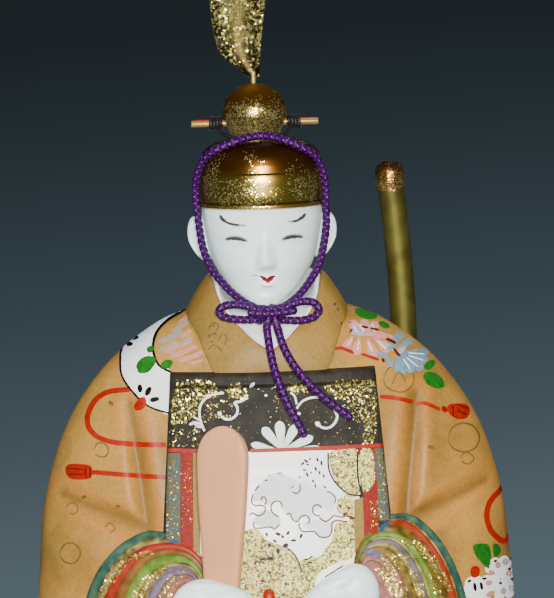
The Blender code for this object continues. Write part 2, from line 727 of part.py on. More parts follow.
def mouth_ring(side, proud, layer, size=1.0):
    """One contour of a sleeve mouth; layer 0 is the widest and 1 the innermost."""
    half_width = size * MOUTH_HALF_WIDTH * (1 + layer * (MOUTH_INNER_WIDTH_SHARE - 1))
    half_height = size * MOUTH_HALF_HEIGHT * (1 + layer * (MOUTH_INNER_HEIGHT_SHARE - 1))
    centre_x = MOUTH_CENTRE_X + layer * MOUTH_INNER_SHIFT_X
    centre_z = MOUTH_CENTRE_Z + layer * MOUTH_INNER_SHIFT_Z
    slant = MOUTH_SLANT + layer * (MOUTH_INNER_SLANT - MOUTH_SLANT)
    points = []
    for step in range(MOUTH_SEGMENTS):
        angle = math.tau * step / MOUTH_SEGMENTS
        up = half_height * math.sin(angle)
        across = half_width * math.cos(angle)
        x = side * (centre_x + across - slant * up)
        z = centre_z + up
        points.append(Vector((x, robe_front(x, z) - proud, z)))
    if side < 0:
        points.reverse()
    return points


def make_sleeve_lining(name, side, surface):
    """The stepped coloured layers of one sleeve mouth, with a pocket for the wrist."""
    rings = [mouth_ring(side, -MOUTH_ROOT_DEPTH, 0.0, size) for size in MOUTH_FILL_SHARES]
    for layer in range(MOUTH_LAYERS):
        proud = MOUTH_BASE_PROUD + layer * MOUTH_LAYER_PROUD
        for edge in (layer, layer + 1):
            rings.append(mouth_ring(side, proud, edge / MOUTH_LAYERS))
    floor = MOUTH_BASE_PROUD + (MOUTH_LAYERS - 1) * MOUTH_LAYER_PROUD - MOUTH_POCKET_DEPTH
    rings += [mouth_ring(side, floor, 1.0, size) for size in reversed(MOUTH_FILL_SHARES)]
    return outward(loft(name, rings, surface))


def ellipsoid(name, centre, half_sizes, turn, segments, power, surface):
    """Superellipsoid, turned by a matrix about its centre."""
    levels = segments // 2
    rings = []
    for level in range(1, levels):
        angle = math.pi * level / levels - math.pi / 2
        size = math.cos(angle) ** (2 / power)
        height = math.copysign(abs(math.sin(angle)) ** (2 / power), math.sin(angle))
        ring = []
        for step in range(segments):
            across, along = power_point(math.tau * step / segments, power)
            local = Vector((half_sizes[0] * size * across, half_sizes[1] * size * along, half_sizes[2] * height))
            ring.append(Vector(centre) + turn @ local)
        rings.append(ring)
    return loft(name, rings, surface, SOFT_HARD_EDGE)


def make_hand(name, side, surface):
    """A closed hand whose fingers point to the middle."""
    centre = (side * HAND_CENTRE_X + HAND_OFFSET_X, HAND_CENTRE_Y, HAND_HEIGHT)
    turn = Matrix.Rotation(side * HAND_LEAN, 3, "Y")
    hand = ellipsoid(name, centre, (HAND_HALF_LENGTH, HAND_HALF_DEPTH, HAND_HALF_HEIGHT), turn,
                     HAND_SEGMENTS, HAND_POWER, surface)
    back = turn.inverted()
    for vertex in hand.data.vertices:
        local = back @ (vertex.co - Vector(centre))
        toward_middle = smoothstep(-HAND_HALF_LENGTH * FINGER_REACH_SHARE, HAND_HALF_LENGTH * FINGER_REACH_SHARE,
                                   -side * local.x)
        front = smoothstep(0.0, HAND_HALF_DEPTH, -local.y)
        groove = 0.0
        for finger in range(FINGER_GROOVES):
            height = (finger - (FINGER_GROOVES - 1) / 2) * FINGER_GROOVE_SPACING
            groove += math.exp(-((local.z - height) / FINGER_GROOVE_WIDTH) ** 2)
        vertex.co.y += FINGER_GROOVE_DEPTH * groove * toward_middle * front
    return hand


def make_head(surface, cutter_surface):
    """Face and skull with ears and neck plug in one body."""
    rings = []
    for height, width, front, back, shift in spline_rows(HEAD_ROW_SHARES, HEAD_LEVELS):
        centre = (HEAD_CENTRE_X, -shift * HEAD_FRONT_DEPTH, HEAD_BOTTOM + height * HEAD_HEIGHT)
        ring = oval_ring(centre, width * HEAD_HALF_WIDTH, front * HEAD_FRONT_DEPTH,
                         back * HEAD_BACK_DEPTH, HEAD_SEGMENTS, HEAD_POWER)
        for point in ring:
            if point.y < 0:
                bridge = smoothstep(NOSE_TOP_SHARE, NOSE_TIP_SHARE, height)
                tip = smoothstep(NOSE_BASE_SHARE, NOSE_TIP_SHARE, height)
                beside = (point.x - HEAD_CENTRE_X) / NOSE_HALF_WIDTH
                point.y -= NOSE_PROUD * bridge * tip * math.exp(-beside * beside)
        rings.append(ring)
    head = loft("head", rings, surface, SOFT_HARD_EDGE)
    skull = grown(head, CLEARANCE, cutter_surface)

    neck = cylinder("neck_part", (HEAD_CENTRE_X, NECK_CENTRE_Y), NECK_RADIUS, NECK_BOTTOM, NECK_TOP,
                    NECK_SEGMENTS, surface)
    fuse(head, hide_as_cutter(neck))
    for side in (-1, 1):
        centre = (HEAD_CENTRE_X + side * (HEAD_HALF_WIDTH + EAR_OUTSET), EAR_CENTRE_Y,
                  HEAD_BOTTOM + EAR_HEIGHT_SHARE * HEAD_HEIGHT)
        turn = Matrix.Rotation(side * EAR_LEAN, 3, "Y")
        ear = ellipsoid("ear_part", centre, (EAR_HALF_WIDTH, EAR_HALF_DEPTH, EAR_HALF_LENGTH), turn, EAR_SEGMENTS,
                        ROUND, surface)
        fuse(head, hide_as_cutter(ear))
    return head, skull


def make_cap(surface):
    """The gilt cap: an upright band, a ledge and a low crown."""
    rings = []
    for height, size in CAP_ROW_SHARES:
        rings.append(oval_ring((HEAD_CENTRE_X, 0.0, CAP_RIM + height * CAP_HEIGHT), size * CAP_HALF_WIDTH,
                               size * CAP_FRONT_DEPTH, size * CAP_BACK_DEPTH, CAP_SEGMENTS, CAP_POWER))
    return loft("cap", rings, surface)


def make_topknot(surface, cutter_surface, cap_envelope):
    """The round case on the cap, bored for the hairpin and the plume's stem."""
    rings = []
    for height, size in spline_rows(CASE_ROW_SHARES, CASE_LEVELS):
        radius = size * CASE_RADIUS
        rings.append(oval_ring((CASE_CENTRE_X, CASE_CENTRE_Y, CASE_BOTTOM + height * CASE_HEIGHT),
                               radius, radius, radius, CASE_SEGMENTS, ROUND))
    case = loft("topknot_case", rings, surface)
    cut(case, cap_envelope)
    pin_hole = rod("pin_hole_cutter", HAIRPIN_RADIUS + CLEARANCE, 2 * (CASE_RADIUS + OVERRUN), cutter_surface)
    cut(case, hide_as_cutter(pin_hole))
    stem_hole = cylinder("stem_hole_cutter", (CASE_CENTRE_X, STEM_CENTRE_Y), STEM_RADIUS + CLEARANCE,
                         STEM_SEAT_HEIGHT - CLEARANCE, PLUME_BOTTOM + OVERRUN, HAIRPIN_SEGMENTS, cutter_surface)
    cut(case, hide_as_cutter(stem_hole))
    return case


def rod(name, radius, length, surface):
    """Rod along X through the topknot case."""
    rings = []
    for end in (-length / 2, length / 2):
        ring = []
        for step in range(HAIRPIN_SEGMENTS):
            angle = math.tau * step / HAIRPIN_SEGMENTS
            ring.append(Vector((CASE_CENTRE_X + end, CASE_CENTRE_Y + radius * math.cos(angle),
                                HAIRPIN_HEIGHT + radius * math.sin(angle))))
        rings.append(ring)
    return outward(loft(name, rings, surface))


def put_origin(item, place):
    """Move an object's origin onto its joint's axis and leave its shape where it is."""
    item.data.transform(Matrix.Translation(-Vector(place)))
    item.location = place


def tube(name, points, radius, surface, resolution=2):
    """Round cord with closed ends along a chain of points."""
    data = bpy.data.curves.new(name, "CURVE")
    data.dimensions = "3D"
    data.bevel_depth = radius
    data.bevel_resolution = resolution
    data.use_fill_caps = True
    spline = data.splines.new("POLY")
    spline.points.add(len(points) - 1)
    for spot, place in zip(spline.points, points):
        spot.co = (*place, 1.0)
    return add_object(name, data, surface)


def chest_route(route):
    """A route on the chest in metres, its heights in proportion to the robe's."""
    return [(x * MM, y * MM, share * ROBE_HEIGHT) for x, y, share in route]


def head_route(route):
    """A route round the head in metres, its heights counted from the robe's top."""
    return [(x * MM, y * MM, ROBE_HEIGHT + rise * MM) for x, y, rise in route]


def route_samples(route, spacing):
    """Points at an even spacing on a smooth curve through a route."""
    fine = spline_rows(route, len(route) * ROUTE_FINENESS)
    places = [Vector(place) for place in fine]
    lengths = [0.0]
    for before, after in zip(places, places[1:]):
        lengths.append(lengths[-1] + (after - before).length)
    count = max(int(round(lengths[-1] / spacing)), 4)
    samples = []
    for step in range(count + 1):
        goal = lengths[-1] * step / count
        index = max(i for i, length in enumerate(lengths) if length <= goal + 1e-9)
        index = min(index, len(places) - 2)
        part = (goal - lengths[index]) / (lengths[index + 1] - lengths[index])
        samples.append(places[index].lerp(places[index + 1], part))
    return samples


def make_thread_turns(name, side, surface):
    """Thread wound round the hairpin beside the case."""
    count = THREAD_TURNS * THREAD_POINTS_PER_TURN
    points = []
    for step in range(count + 1):
        angle = math.tau * step / THREAD_POINTS_PER_TURN
        x = THREAD_START + THREAD_PITCH * step / THREAD_POINTS_PER_TURN
        points.append(Vector((CASE_CENTRE_X + side * x, CASE_CENTRE_Y + THREAD_RUN_RADIUS * math.cos(angle),
                              HAIRPIN_HEIGHT + THREAD_RUN_RADIUS * math.sin(angle))))
    print(name, "least gap between turns in mm:", round((THREAD_PITCH - 2 * THREAD_RADIUS) / MM, 2))
    return tube(name, points, THREAD_RADIUS, surface, resolution=1)


def make_plume_gauze(surface):
    """The stiff gauze tail: a narrow foot, a wide curled leaf and a round end."""
    front, back = [], []
    rows = spline_rows(PLUME_EDGE_SHARES, len(PLUME_EDGE_SHARES) * 2 - 1)
    for height, left, right in rows:
        z = PLUME_BOTTOM + height * PLUME_HEIGHT
        lean = PLUME_LEAN * height * height
        for column in range(PLUME_COLUMNS + 1):
            part = column / PLUME_COLUMNS
            x = CASE_CENTRE_X + PLUME_WIDTH * (left + part * (right - left))
            curl = PLUME_CURL * (2 * part - 1) ** 2 * min(right - left, 1.0)
            y = STEM_CENTRE_Y + lean + curl
            front.append(Vector((x, y - PLUME_THICKNESS / 2, z)))
            back.append(Vector((x, y + PLUME_THICKNESS / 2, z)))
    return slab("plume_gauze", front, back, PLUME_COLUMNS, len(rows) - 1, surface)


def make_baton(surface):
    """The flat baton: narrow foot, wide round top."""
    height = BATON_TOP - BATON_BOTTOM
    outline = []
    for up, width in BATON_ROW_SHARES:
        outline.append(Vector((width * BATON_WIDTH / 2, up * height)))
    shoulder = outline[-1].y
    for step in range(1, BATON_ARC_STEPS + 1):
        angle = math.pi / 2 * step / BATON_ARC_STEPS
        rise = (height - shoulder) * math.sin(angle)
        outline.append(Vector((BATON_WIDTH / 2 * math.cos(angle), shoulder + rise)))
    loop = outline + [Vector((-p.x, p.y)) for p in reversed(outline[:-1])]
    points = []
    for depth in (-BATON_THICKNESS / 2, BATON_THICKNESS / 2):
        points += [Vector((p.x, depth, p.y)) for p in loop]
    count = len(loop)
    faces = [tuple(range(count)), tuple(reversed(range(count, 2 * count)))]
    for index in range(count):
        after = (index + 1) % count
        faces.append((index, count + index, count + after, after))
    baton = outward(mesh_object("shaku", points, faces, surface))
    baton.location = (BATON_CENTRE_X, BATON_CENTRE_Y, BATON_BOTTOM)
    baton.rotation_euler = baton_turn().to_euler()
    edge = baton.modifiers.new("round_edges", "BEVEL")
    edge.width = BATON_BEVEL
    edge.segments = BATON_BEVEL_SEGMENTS
    edge.limit_method = "ANGLE"
    edge.angle_limit = SOFT_HARD_EDGE
    return baton


def baton_turn():
    """The baton reclines to the chest, leans to the doll's left and faces a little to its right."""
    tilt = Matrix.Rotation(BATON_LEAN, 3, "Y") @ Matrix.Rotation(BATON_RECLINE, 3, "X")
    return tilt @ Matrix.Rotation(BATON_TURN, 3, "Z")


def baton_slot(surface):
    """Cutter for the slot that the baton's foot stands in."""
    half_width = BATON_WIDTH * BATON_ROW_SHARES[2][1] / 2 + RUNNING_CLEARANCE
    half_depth = BATON_THICKNESS / 2 + RUNNING_CLEARANCE
    corners = [(-half_width, -half_depth), (half_width, -half_depth), (half_width, half_depth),
               (-half_width, half_depth)]
    high = HAND_HEIGHT + HAND_HALF_HEIGHT + OVERRUN - BATON_BOTTOM
    foot = Vector((BATON_CENTRE_X, BATON_CENTRE_Y, BATON_BOTTOM))
    turn = baton_turn()
    rings = []
    for height in (-CLEARANCE, high):
        rings.append([foot + turn @ Vector((x, y, height)) for x, y in corners])
    return hide_as_cutter(loft("baton_slot_cutter", rings, surface))


def sword_line(height):
    """Centre of the scabbard at a height: straight in its socket, then curved."""
    part = max(height - SWORD_STRAIGHT_TOP, 0.0) / (SWORD_TOP - SWORD_STRAIGHT_TOP)
    return Vector((SWORD_X + SWORD_TOP_OFFSET * part ** SWORD_CURVE_POWER, SWORD_Y, height))


def make_scabbard(surface):
    """The curved scabbard, upright in the shoulder socket."""
    heights = [SWORD_SEAT, SWORD_STRAIGHT_TOP]
    for step in range(1, SCABBARD_POINTS):
        heights.append(SWORD_STRAIGHT_TOP + (SWORD_TOP - SWORD_STRAIGHT_TOP) * step / (SCABBARD_POINTS - 1))
    rings = []
    for height in heights:
        centre = sword_line(height)
        rings.append(oval_ring(centre, SCABBARD_RADIUS, SCABBARD_RADIUS, SCABBARD_RADIUS, SCABBARD_SIDES, ROUND))
    return loft("sword_scabbard", rings, surface)


def make_chape(surface):
    """The rounded cap on the scabbard's end."""
    top = sword_line(SWORD_TOP)
    rings = []
    for height, size in CHAPE_ROW_SHARES:
        radius = size * CHAPE_RADIUS
        centre = (top.x, top.y, SWORD_TOP + CLEARANCE + height * CHAPE_LENGTH)
        rings.append(oval_ring(centre, radius, radius, radius, CHAPE_SIDES, ROUND))
    return loft("sword_chape", rings, surface)


def make_hakama(surface):
    """The lap: two knees with a dip between them."""
    rings = []
    for height, width, front in HAKAMA_ROW_SHARES:
        ring = oval_ring((0.0, HAKAMA_ROOT_DEPTH, height * HAKAMA_HEIGHT), width * HAKAMA_HALF_WIDTH,
                         front * HAKAMA_FRONT_DEPTH + HAKAMA_ROOT_DEPTH, OVERRUN, HAKAMA_SEGMENTS, HAKAMA_POWER)
        for point in ring:
            if point.y < HAKAMA_ROOT_DEPTH:
                point.y += HAKAMA_DIP * math.exp(-(point.x / HAKAMA_DIP_SPREAD) ** 2)
        rings.append(ring)
    return loft("hakama", rings, surface)


def build():
    """Make every piece of the doll."""
    remove_everything()
    ochre = material("ochre_lacquered_clay", (0.60, 0.36, 0.12), 0.42)
    cutter_surface = material("cutter", (0.5, 0.5, 0.5), 0.5)
    robe, robe_envelope = make_robe(ochre, cutter_surface)

    collar = collar_ring("robe_collar", 0.0, COLLAR_THICKNESS, 0.0,
                         material("ochre_collar_clay", (0.58, 0.34, 0.11), 0.42))
    collar_envelope = grown(collar, CLEARANCE, cutter_surface)
    inner_start = COLLAR_THICKNESS + CLEARANCE
    inner_collar = collar_ring("inner_collar", inner_start, inner_start + INNER_COLLAR_THICKNESS,
                               INNER_COLLAR_RISE, material("white_collar_clay", (0.80, 0.80, 0.78), 0.5))
    cut(collar, robe_envelope)
    cut(inner_collar, collar_envelope)
    cut(inner_collar, robe_envelope)

    panel = make_panel(material("painted_panel_clay", (0.10, 0.09, 0.08), 0.45))
    panel_envelope = grown(panel, CLEARANCE, cutter_surface)
    cut(panel, collar_envelope)
    cut(panel, robe_envelope)

    lining_envelopes = []
    lining_paint = material("layered_sleeve_clay", (0.20, 0.42, 0.30), 0.45)
    for name, side in (("sleeve_lining_right", -1), ("sleeve_lining_left", 1)):
        lining = make_sleeve_lining(name, side, lining_paint)
        lining_envelopes.append(grown(lining, CLEARANCE, cutter_surface))
        cut(lining, robe_envelope)
        cut(lining, panel_envelope)

    white_clay = material("white_gofun_clay", (0.80, 0.83, 0.81), 0.55)
    slot = baton_slot(cutter_surface)
    hand_envelopes = []
    for name, side in (("hand_right", -1), ("hand_left", 1)):
        hand = make_hand(name, side, white_clay)
        hand_envelopes.append(grown(hand, CLEARANCE, cutter_surface))
        for cutter in [robe_envelope, panel_envelope] + lining_envelopes:
            cut(hand, cutter)
        if side < 0:
            cut(hand, slot)

    knot_sizes = (SASH_KNOT_WIDTH / 2, SASH_KNOT_DEPTH / 2, SASH_KNOT_HEIGHT / 2)
    sash_knot = ellipsoid("sash_knot", SASH_KNOT_CENTRE, knot_sizes, Matrix.Identity(3), SASH_KNOT_SEGMENTS,
                          SASH_KNOT_POWER, material("red_sash_clay", (0.55, 0.06, 0.03), 0.45))
    for cutter in [robe_envelope, panel_envelope] + hand_envelopes:
        cut(sash_knot, cutter)

    hakama = make_hakama(material("white_lap_clay", (0.78, 0.78, 0.74), 0.5))
    for cutter in [robe_envelope, panel_envelope] + lining_envelopes + hand_envelopes:
        cut(hakama, cutter)
    cut(hakama, grown(sash_knot, CLEARANCE, cutter_surface))

    head, skull = make_head(white_clay, cutter_surface)
    gilt = material("gilt_lacquer", (0.52, 0.33, 0.07), 0.22, 1.0)
    cap = make_cap(gilt)
    cap_envelope = grown(cap, CLEARANCE, cutter_surface)
    cut(cap, skull)
    make_topknot(gilt, cutter_surface, cap_envelope)
    pin_metal = material("gilt_pin_metal", (0.60, 0.38, 0.12), 0.25, 1.0)
    rod("hairpin", HAIRPIN_RADIUS, HAIRPIN_LENGTH, pin_metal)
    thread = material("black_silk_thread", (0.01, 0.01, 0.012), 0.6)
    make_thread_turns("pin_binding_right", -1, thread)
    make_thread_turns("pin_binding_left", 1, thread)

    stem = cylinder("plume_stem", (CASE_CENTRE_X, STEM_CENTRE_Y), STEM_RADIUS, STEM_SEAT_HEIGHT,
                    PLUME_BOTTOM - CLEARANCE, HAIRPIN_SEGMENTS, pin_metal)
    gauze = make_plume_gauze(material("gilt_gauze", (0.62, 0.45, 0.14), 0.35, 1.0))
    for piece in (stem, gauze):
        put_origin(piece, (CASE_CENTRE_X, STEM_CENTRE_Y, STEM_SEAT_HEIGHT))

    make_baton(material("baton_wood", (0.60, 0.38, 0.26), 0.55))
    scabbard = make_scabbard(material("olive_gilt", (0.36, 0.32, 0.08), 0.3, 0.9))
    chape = make_chape(material("bronze_gilt", (0.34, 0.20, 0.05), 0.28, 1.0))
    for piece in (scabbard, chape):
        put_origin(piece, (SWORD_X, SWORD_Y, SWORD_SEAT))

    silk = material("purple_silk_cord", (0.09, 0.01, 0.22), 0.45)
    tube("cord_chin_loop", route_samples(head_route(CHIN_LOOP_ROUTE), CORD_SAMPLE), CORD_RADIUS, silk)
    half_knot = [size / 2 for size in KNOT_SIZE]
    knot = ellipsoid("cord_knot", KNOT_CENTRE, half_knot, Matrix.Identity(3), KNOT_SEGMENTS, KNOT_POWER, silk)
    for name, route in (("cord_bow_right", RIGHT_BOW_ROUTE), ("cord_bow_left", LEFT_BOW_ROUTE)):
        tube(name, route_samples(chest_route(route), BOW_SAMPLE), CORD_RADIUS, silk)
    for name, route in (("cord_tail_right", RIGHT_TAIL_ROUTE), ("cord_tail_left", LEFT_TAIL_ROUTE)):
        tube(name, route_samples(chest_route(route), CORD_SAMPLE), CORD_RADIUS, silk)


build()
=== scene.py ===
import math
import random

import bmesh
import bpy
import numpy as np
from mathutils import Matrix, Vector
from mathutils.bvhtree import BVHTree


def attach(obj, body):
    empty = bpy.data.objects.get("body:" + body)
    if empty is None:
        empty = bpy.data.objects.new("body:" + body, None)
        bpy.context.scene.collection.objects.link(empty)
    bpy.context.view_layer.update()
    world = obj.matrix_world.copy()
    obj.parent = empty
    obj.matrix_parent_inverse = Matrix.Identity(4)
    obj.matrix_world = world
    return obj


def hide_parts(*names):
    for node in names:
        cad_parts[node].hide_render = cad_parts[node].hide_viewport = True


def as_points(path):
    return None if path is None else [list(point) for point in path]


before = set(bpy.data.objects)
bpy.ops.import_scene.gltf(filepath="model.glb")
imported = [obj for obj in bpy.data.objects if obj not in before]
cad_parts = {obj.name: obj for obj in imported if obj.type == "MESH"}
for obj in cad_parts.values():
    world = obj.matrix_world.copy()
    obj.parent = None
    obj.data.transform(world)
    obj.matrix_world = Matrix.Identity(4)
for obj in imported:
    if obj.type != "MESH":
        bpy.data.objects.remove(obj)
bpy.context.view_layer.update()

mm = 0.001
tau = math.tau
print("frame loaded")

# The camera of the photograph: a little above the doll, turned and tipped a little
cameraSettings = {
    "distance": 0.700, "yaw": -2.0, "elevation": 7.0, "roll": 1.5, "target": (0.0025, -0.010, 0.132),
    "lens": 131.69, "sensor": 36.0, "nearest": 0.01, "photoWidth": 554, "photoHeight": 598,
}


def cameraAxes(s):
    yaw, rise, roll = (math.radians(s[name]) for name in ("yaw", "elevation", "roll"))
    back = Vector((math.sin(yaw) * math.cos(rise), -math.cos(yaw) * math.cos(rise), math.sin(rise)))
    level = (-back).cross(Vector((0, 0, 1))).normalized()
    upright = level.cross(-back)
    right = level * math.cos(roll) - upright * math.sin(roll)
    up = upright * math.cos(roll) + level * math.sin(roll)
    return right, up, back, Vector(s["target"]) + back * s["distance"]


viewRight, viewUp, viewBack, viewPlace = cameraAxes(cameraSettings)
focalPixels = cameraSettings["lens"] / cameraSettings["sensor"] * cameraSettings["photoHeight"]


def pixelRay(px, py):
    across = px - cameraSettings["photoWidth"] / 2
    down = cameraSettings["photoHeight"] / 2 - py
    return (viewRight * across + viewUp * down - viewBack * focalPixels).normalized()


def makeCamera(s):
    data = bpy.data.cameras.new("photoCamera")
    data.lens, data.sensor_width, data.clip_start = s["lens"], s["sensor"], s["nearest"]
    item = bpy.data.objects.new("photoCamera", data)
    bpy.context.scene.collection.objects.link(item)
    turn = Matrix((viewRight, viewUp, viewBack)).transposed()
    item.matrix_world = Matrix.Translation(viewPlace) @ turn.to_4x4()
    bpy.context.scene.camera = item


makeCamera(cameraSettings)


def deselectAll():
    if bpy.context.mode != "OBJECT":
        bpy.ops.object.mode_set(mode="OBJECT")
    bpy.ops.object.select_all(action="DESELECT")


def makeActive(piece):
    deselectAll()
    piece.select_set(True)
    bpy.context.view_layer.objects.active = piece


def applyModifier(piece, kind, **settings):
    makeActive(piece)
    step = piece.modifiers.new(kind.lower(), kind)
    for name, value in settings.items():
        setattr(step, name, value)
    bpy.ops.object.modifier_apply(modifier=step.name)


def smoothShade(piece, degrees=40):
    makeActive(piece)
    bpy.ops.object.shade_smooth_by_angle(angle=math.radians(degrees))


def toLinear(colour):
    values = [int(colour[i:i + 2], 16) / 255 for i in (1, 3, 5)]
    return tuple(v / 12.92 if v <= 0.04045 else ((v + 0.055) / 1.055) ** 2.4 for v in values) + (1.0,)


# What a kind of node has unless its row says otherwise
usualSettings = {
    "Mix": {"data_type": "RGBA"}, "TexNoise": {"Vector": "place Object"}, "TexVoronoi": {"Vector": "place Object"},
}


def addNode(tree, known, label, kind, settings):
    # a text at an input is a colour, or an earlier node's label and the output to link, the first if unnamed
    node = known[label] = tree.nodes.get(label) or tree.nodes.new("ShaderNode" + kind)
    for name, value in {**usualSettings.get(kind, {}), **settings}.items():
        if name == "stops":
            stops = value.split()
            ramp = node.color_ramp
            while len(ramp.elements) < len(stops) / 2:
                ramp.elements.new(0.5)
            for element, place, colour in zip(ramp.elements, stops[::2], stops[1::2]):
                element.position, element.color = float(place), toLinear(colour)
        elif name == "interpolation":
            node.color_ramp.interpolation = value
        elif isinstance(name, str) and name not in node.inputs:
            setattr(node, name, value)
        elif isinstance(value, str) and value[0] != "#":
            source, _, output = value.partition(" ")
            socket = known[source].outputs[int(output) if output.isdigit() else output or 0]
            tree.links.new(socket, node.inputs[name])
        else:
            node.inputs[name].default_value = toLinear(value) if isinstance(value, str) else value


def makeMaterial(name, shader, nodes):
    # nodes: each one's label, kind, and settings with links
    made = bpy.data.materials.new(name)
    made.use_nodes = True
    known = {}
    for label, (kind, settings) in {"place": ("TexCoord", {}), **nodes, "Principled BSDF": ("", shader)}.items():
        addNode(made.node_tree, known, label, kind, settings)
    return made


def makeMottled(name, shader, noise, stops, bump=None, stretch=None, grain=None):
    # a cloudy noise colours a hand-laid finish and lifts it, unless a finer grain does; stretch draws it out
    nodes = {"tone": ("TexNoise", noise), "colour": ("ValToRGB", {"Fac": "tone", "stops": stops})}
    shader = {**shader, "Base Color": "colour"}
    if stretch:
        squeezed = ("Mapping", {"Vector": "place Object", "Scale": stretch})
        nodes = {"squeezed": squeezed, **nodes, "tone": ("TexNoise", {**noise, "Scale": 1, "Vector": "squeezed"})}
    if grain:
        nodes["grain"] = ("TexNoise", {"Scale": grain, "Detail": 2})
    if bump:
        height = "grain" if grain else "tone"
        nodes["bump"] = ("Bump", {"Height": height, "Distance": bump[0], "Strength": bump[1]})
        shader["Normal"] = "bump"
    return makeMaterial(name, shader, nodes)


def splineAt(rows, place):
    rows = np.asarray(rows, float)
    place = np.asarray(place, float)
    last = len(rows) - 1
    index = np.clip(place.astype(int), 0, last - 1)
    part = (place - index)[..., None]
    start, end = rows[index], rows[index + 1]
    slopeIn = (end - rows[np.maximum(index - 1, 0)]) / 2
    slopeOut = (rows[np.minimum(index + 2, last)] - start) / 2
    a = 2 * (start - end) + slopeIn + slopeOut
    b = 3 * (end - start) - 2 * slopeIn - slopeOut
    return ((a * part + b) * part + slopeIn) * part + start


def splineRows(rows, count):
    return splineAt(rows, np.linspace(0, len(rows) - 1, count))


def rowAtHeight(rows, height):
    rows = np.asarray(rows, float)
    return splineAt(rows, np.interp(height, rows[:, 0], np.arange(len(rows))))


def evenPath(points, spacing):
    # evenly spaced places on the smooth curve through the given points
    fine = splineRows(points, len(points) * 24)
    reach = np.concatenate([[0], np.cumsum(np.linalg.norm(np.diff(fine, axis=0), axis=1))])
    goals = np.linspace(0, reach[-1], max(int(round(reach[-1] / spacing)), 4) + 1)
    return np.stack([np.interp(goals, reach, fine[:, k]) for k in range(3)], axis=1), reach[-1]


def smoothStep(low, high, value):
    part = np.clip((value - low) / (high - low), 0, 1)
    return part * part * (3 - 2 * part)


def bell(away, spread):
    return np.exp(-(away / spread) ** 2)


def roundedTurn(count, power):
    # cosines and sines of a whole turn, squared off by the power
    angle = np.arange(count) * tau / count
    return (np.sign(value) * np.abs(value) ** (2 / power) for value in (np.cos(angle), np.sin(angle)))


def ovalRing(centre, halfWidth, front, back, count, power=2.0):
    across, along = roundedTurn(count, power)
    depth = np.where(along > 0, back, front)
    return np.stack([centre[0] + halfWidth * across, centre[1] + depth * along,
                     np.full(count, float(centre[2]))], axis=1)


def roundRing(centre, radius, count):
    return ovalRing(centre, radius, radius, radius, count)


def sizedRings(rows, centre, height, halves, count, power=2.0):
    # each row is a height and a size, as shares; halves are the half width, the front and the back
    return [ovalRing((centre[0], centre[1], centre[2] + up * height), *(size * half for half in halves), count, power)
            for up, size in rows]


def shapedGrid(name, points, degrees=40):
    # a grid plane shaped row by row; points has rows, columns and places in mm
    points = np.asarray(points, float)
    rows, columns = points.shape[:2]
    deselectAll()
    bpy.ops.mesh.primitive_grid_add(x_subdivisions=columns - 1, y_subdivisions=rows - 1, size=1)
    piece = bpy.context.active_object
    piece.name = piece.data.name = name
    piece.data.vertices.foreach_set("co", (points.reshape(-1, 3) * mm).ravel())
    piece.data.update()
    smoothShade(piece, degrees)
    return piece


def bridgeRings(name, rings, degrees=40, looped=False):
    # the grid is wrapped round the rings, its seam is merged and its open ends are filled
    rings = np.asarray(rings, float)
    if looped:
        rings = np.concatenate([rings, rings[:1]])
    piece = shapedGrid(name, np.concatenate([rings, rings[:, :1]], axis=1), degrees)
    bpy.ops.object.mode_set(mode="EDIT")
    bpy.ops.mesh.select_all(action="SELECT")
    bpy.ops.mesh.remove_doubles(threshold=1e-7)
    if not looped:
        bpy.ops.mesh.fill_holes(sides=0)
    bpy.ops.mesh.select_all(action="SELECT")
    bpy.ops.mesh.normals_make_consistent(inside=False)
    smoothShade(piece, degrees)
    return piece


def carriedFrames(path, first):
    # each place of a path and the two ways across it, carried along without twisting
    steps = np.gradient(path, axis=0)
    steps /= np.linalg.norm(steps, axis=1)[:, None]
    across = np.cross(steps[0], first)
    across /= np.linalg.norm(across)
    for spot, step in zip(path, steps):
        across = across - step * across.dot(step)
        across /= np.linalg.norm(across)
        yield spot, across, np.cross(step, across)


def addRod(name, radius, length, middle, sides=32, across=False):
    # a plain cylinder in mm, upright or lying across
    deselectAll()
    bpy.ops.mesh.primitive_cylinder_add(vertices=sides, radius=radius * mm, depth=length * mm,
                                        location=Vector(middle) * mm, rotation=(0, across * math.pi / 2, 0))
    rod = bpy.context.active_object
    rod.name = rod.data.name = name
    bpy.ops.object.transform_apply()
    return rod


def drillOut(piece, degrees, *rods):
    for rod in rods:
        drill = addRod("drill", *rod)
        applyModifier(piece, "BOOLEAN", operation="DIFFERENCE", solver="EXACT", object=drill)
        bpy.data.objects.remove(drill, do_unlink=True)
    smoothShade(piece, degrees)


def pointPlaces(piece):
    places = np.empty(len(piece.data.vertices) * 3)
    piece.data.vertices.foreach_get("co", places)
    return places.reshape(-1, 3) / mm


def storeValues(piece, label, values):
    piece.data.attributes.new(label, "FLOAT", "POINT").data.foreach_set("value", values)


def finishPiece(piece, material, body, slot, *nodes):
    piece.data.materials.clear()
    piece.data.materials.append(material)
    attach(piece, body)
    if nodes:
        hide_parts(*nodes)
    return piece


def joinPieces(name, parts):
    deselectAll()
    for part in parts:
        part.select_set(True)
    bpy.context.view_layer.objects.active = parts[0]
    bpy.ops.object.join()
    parts[0].name = parts[0].data.name = name
    return parts[0]


def treeOf(piece):
    mesh = bmesh.new()
    mesh.from_mesh(piece.data)
    bmesh.ops.triangulate(mesh, faces=mesh.faces)
    tree = BVHTree.FromBMesh(mesh)
    mesh.free()
    return tree


# Floor, light and background

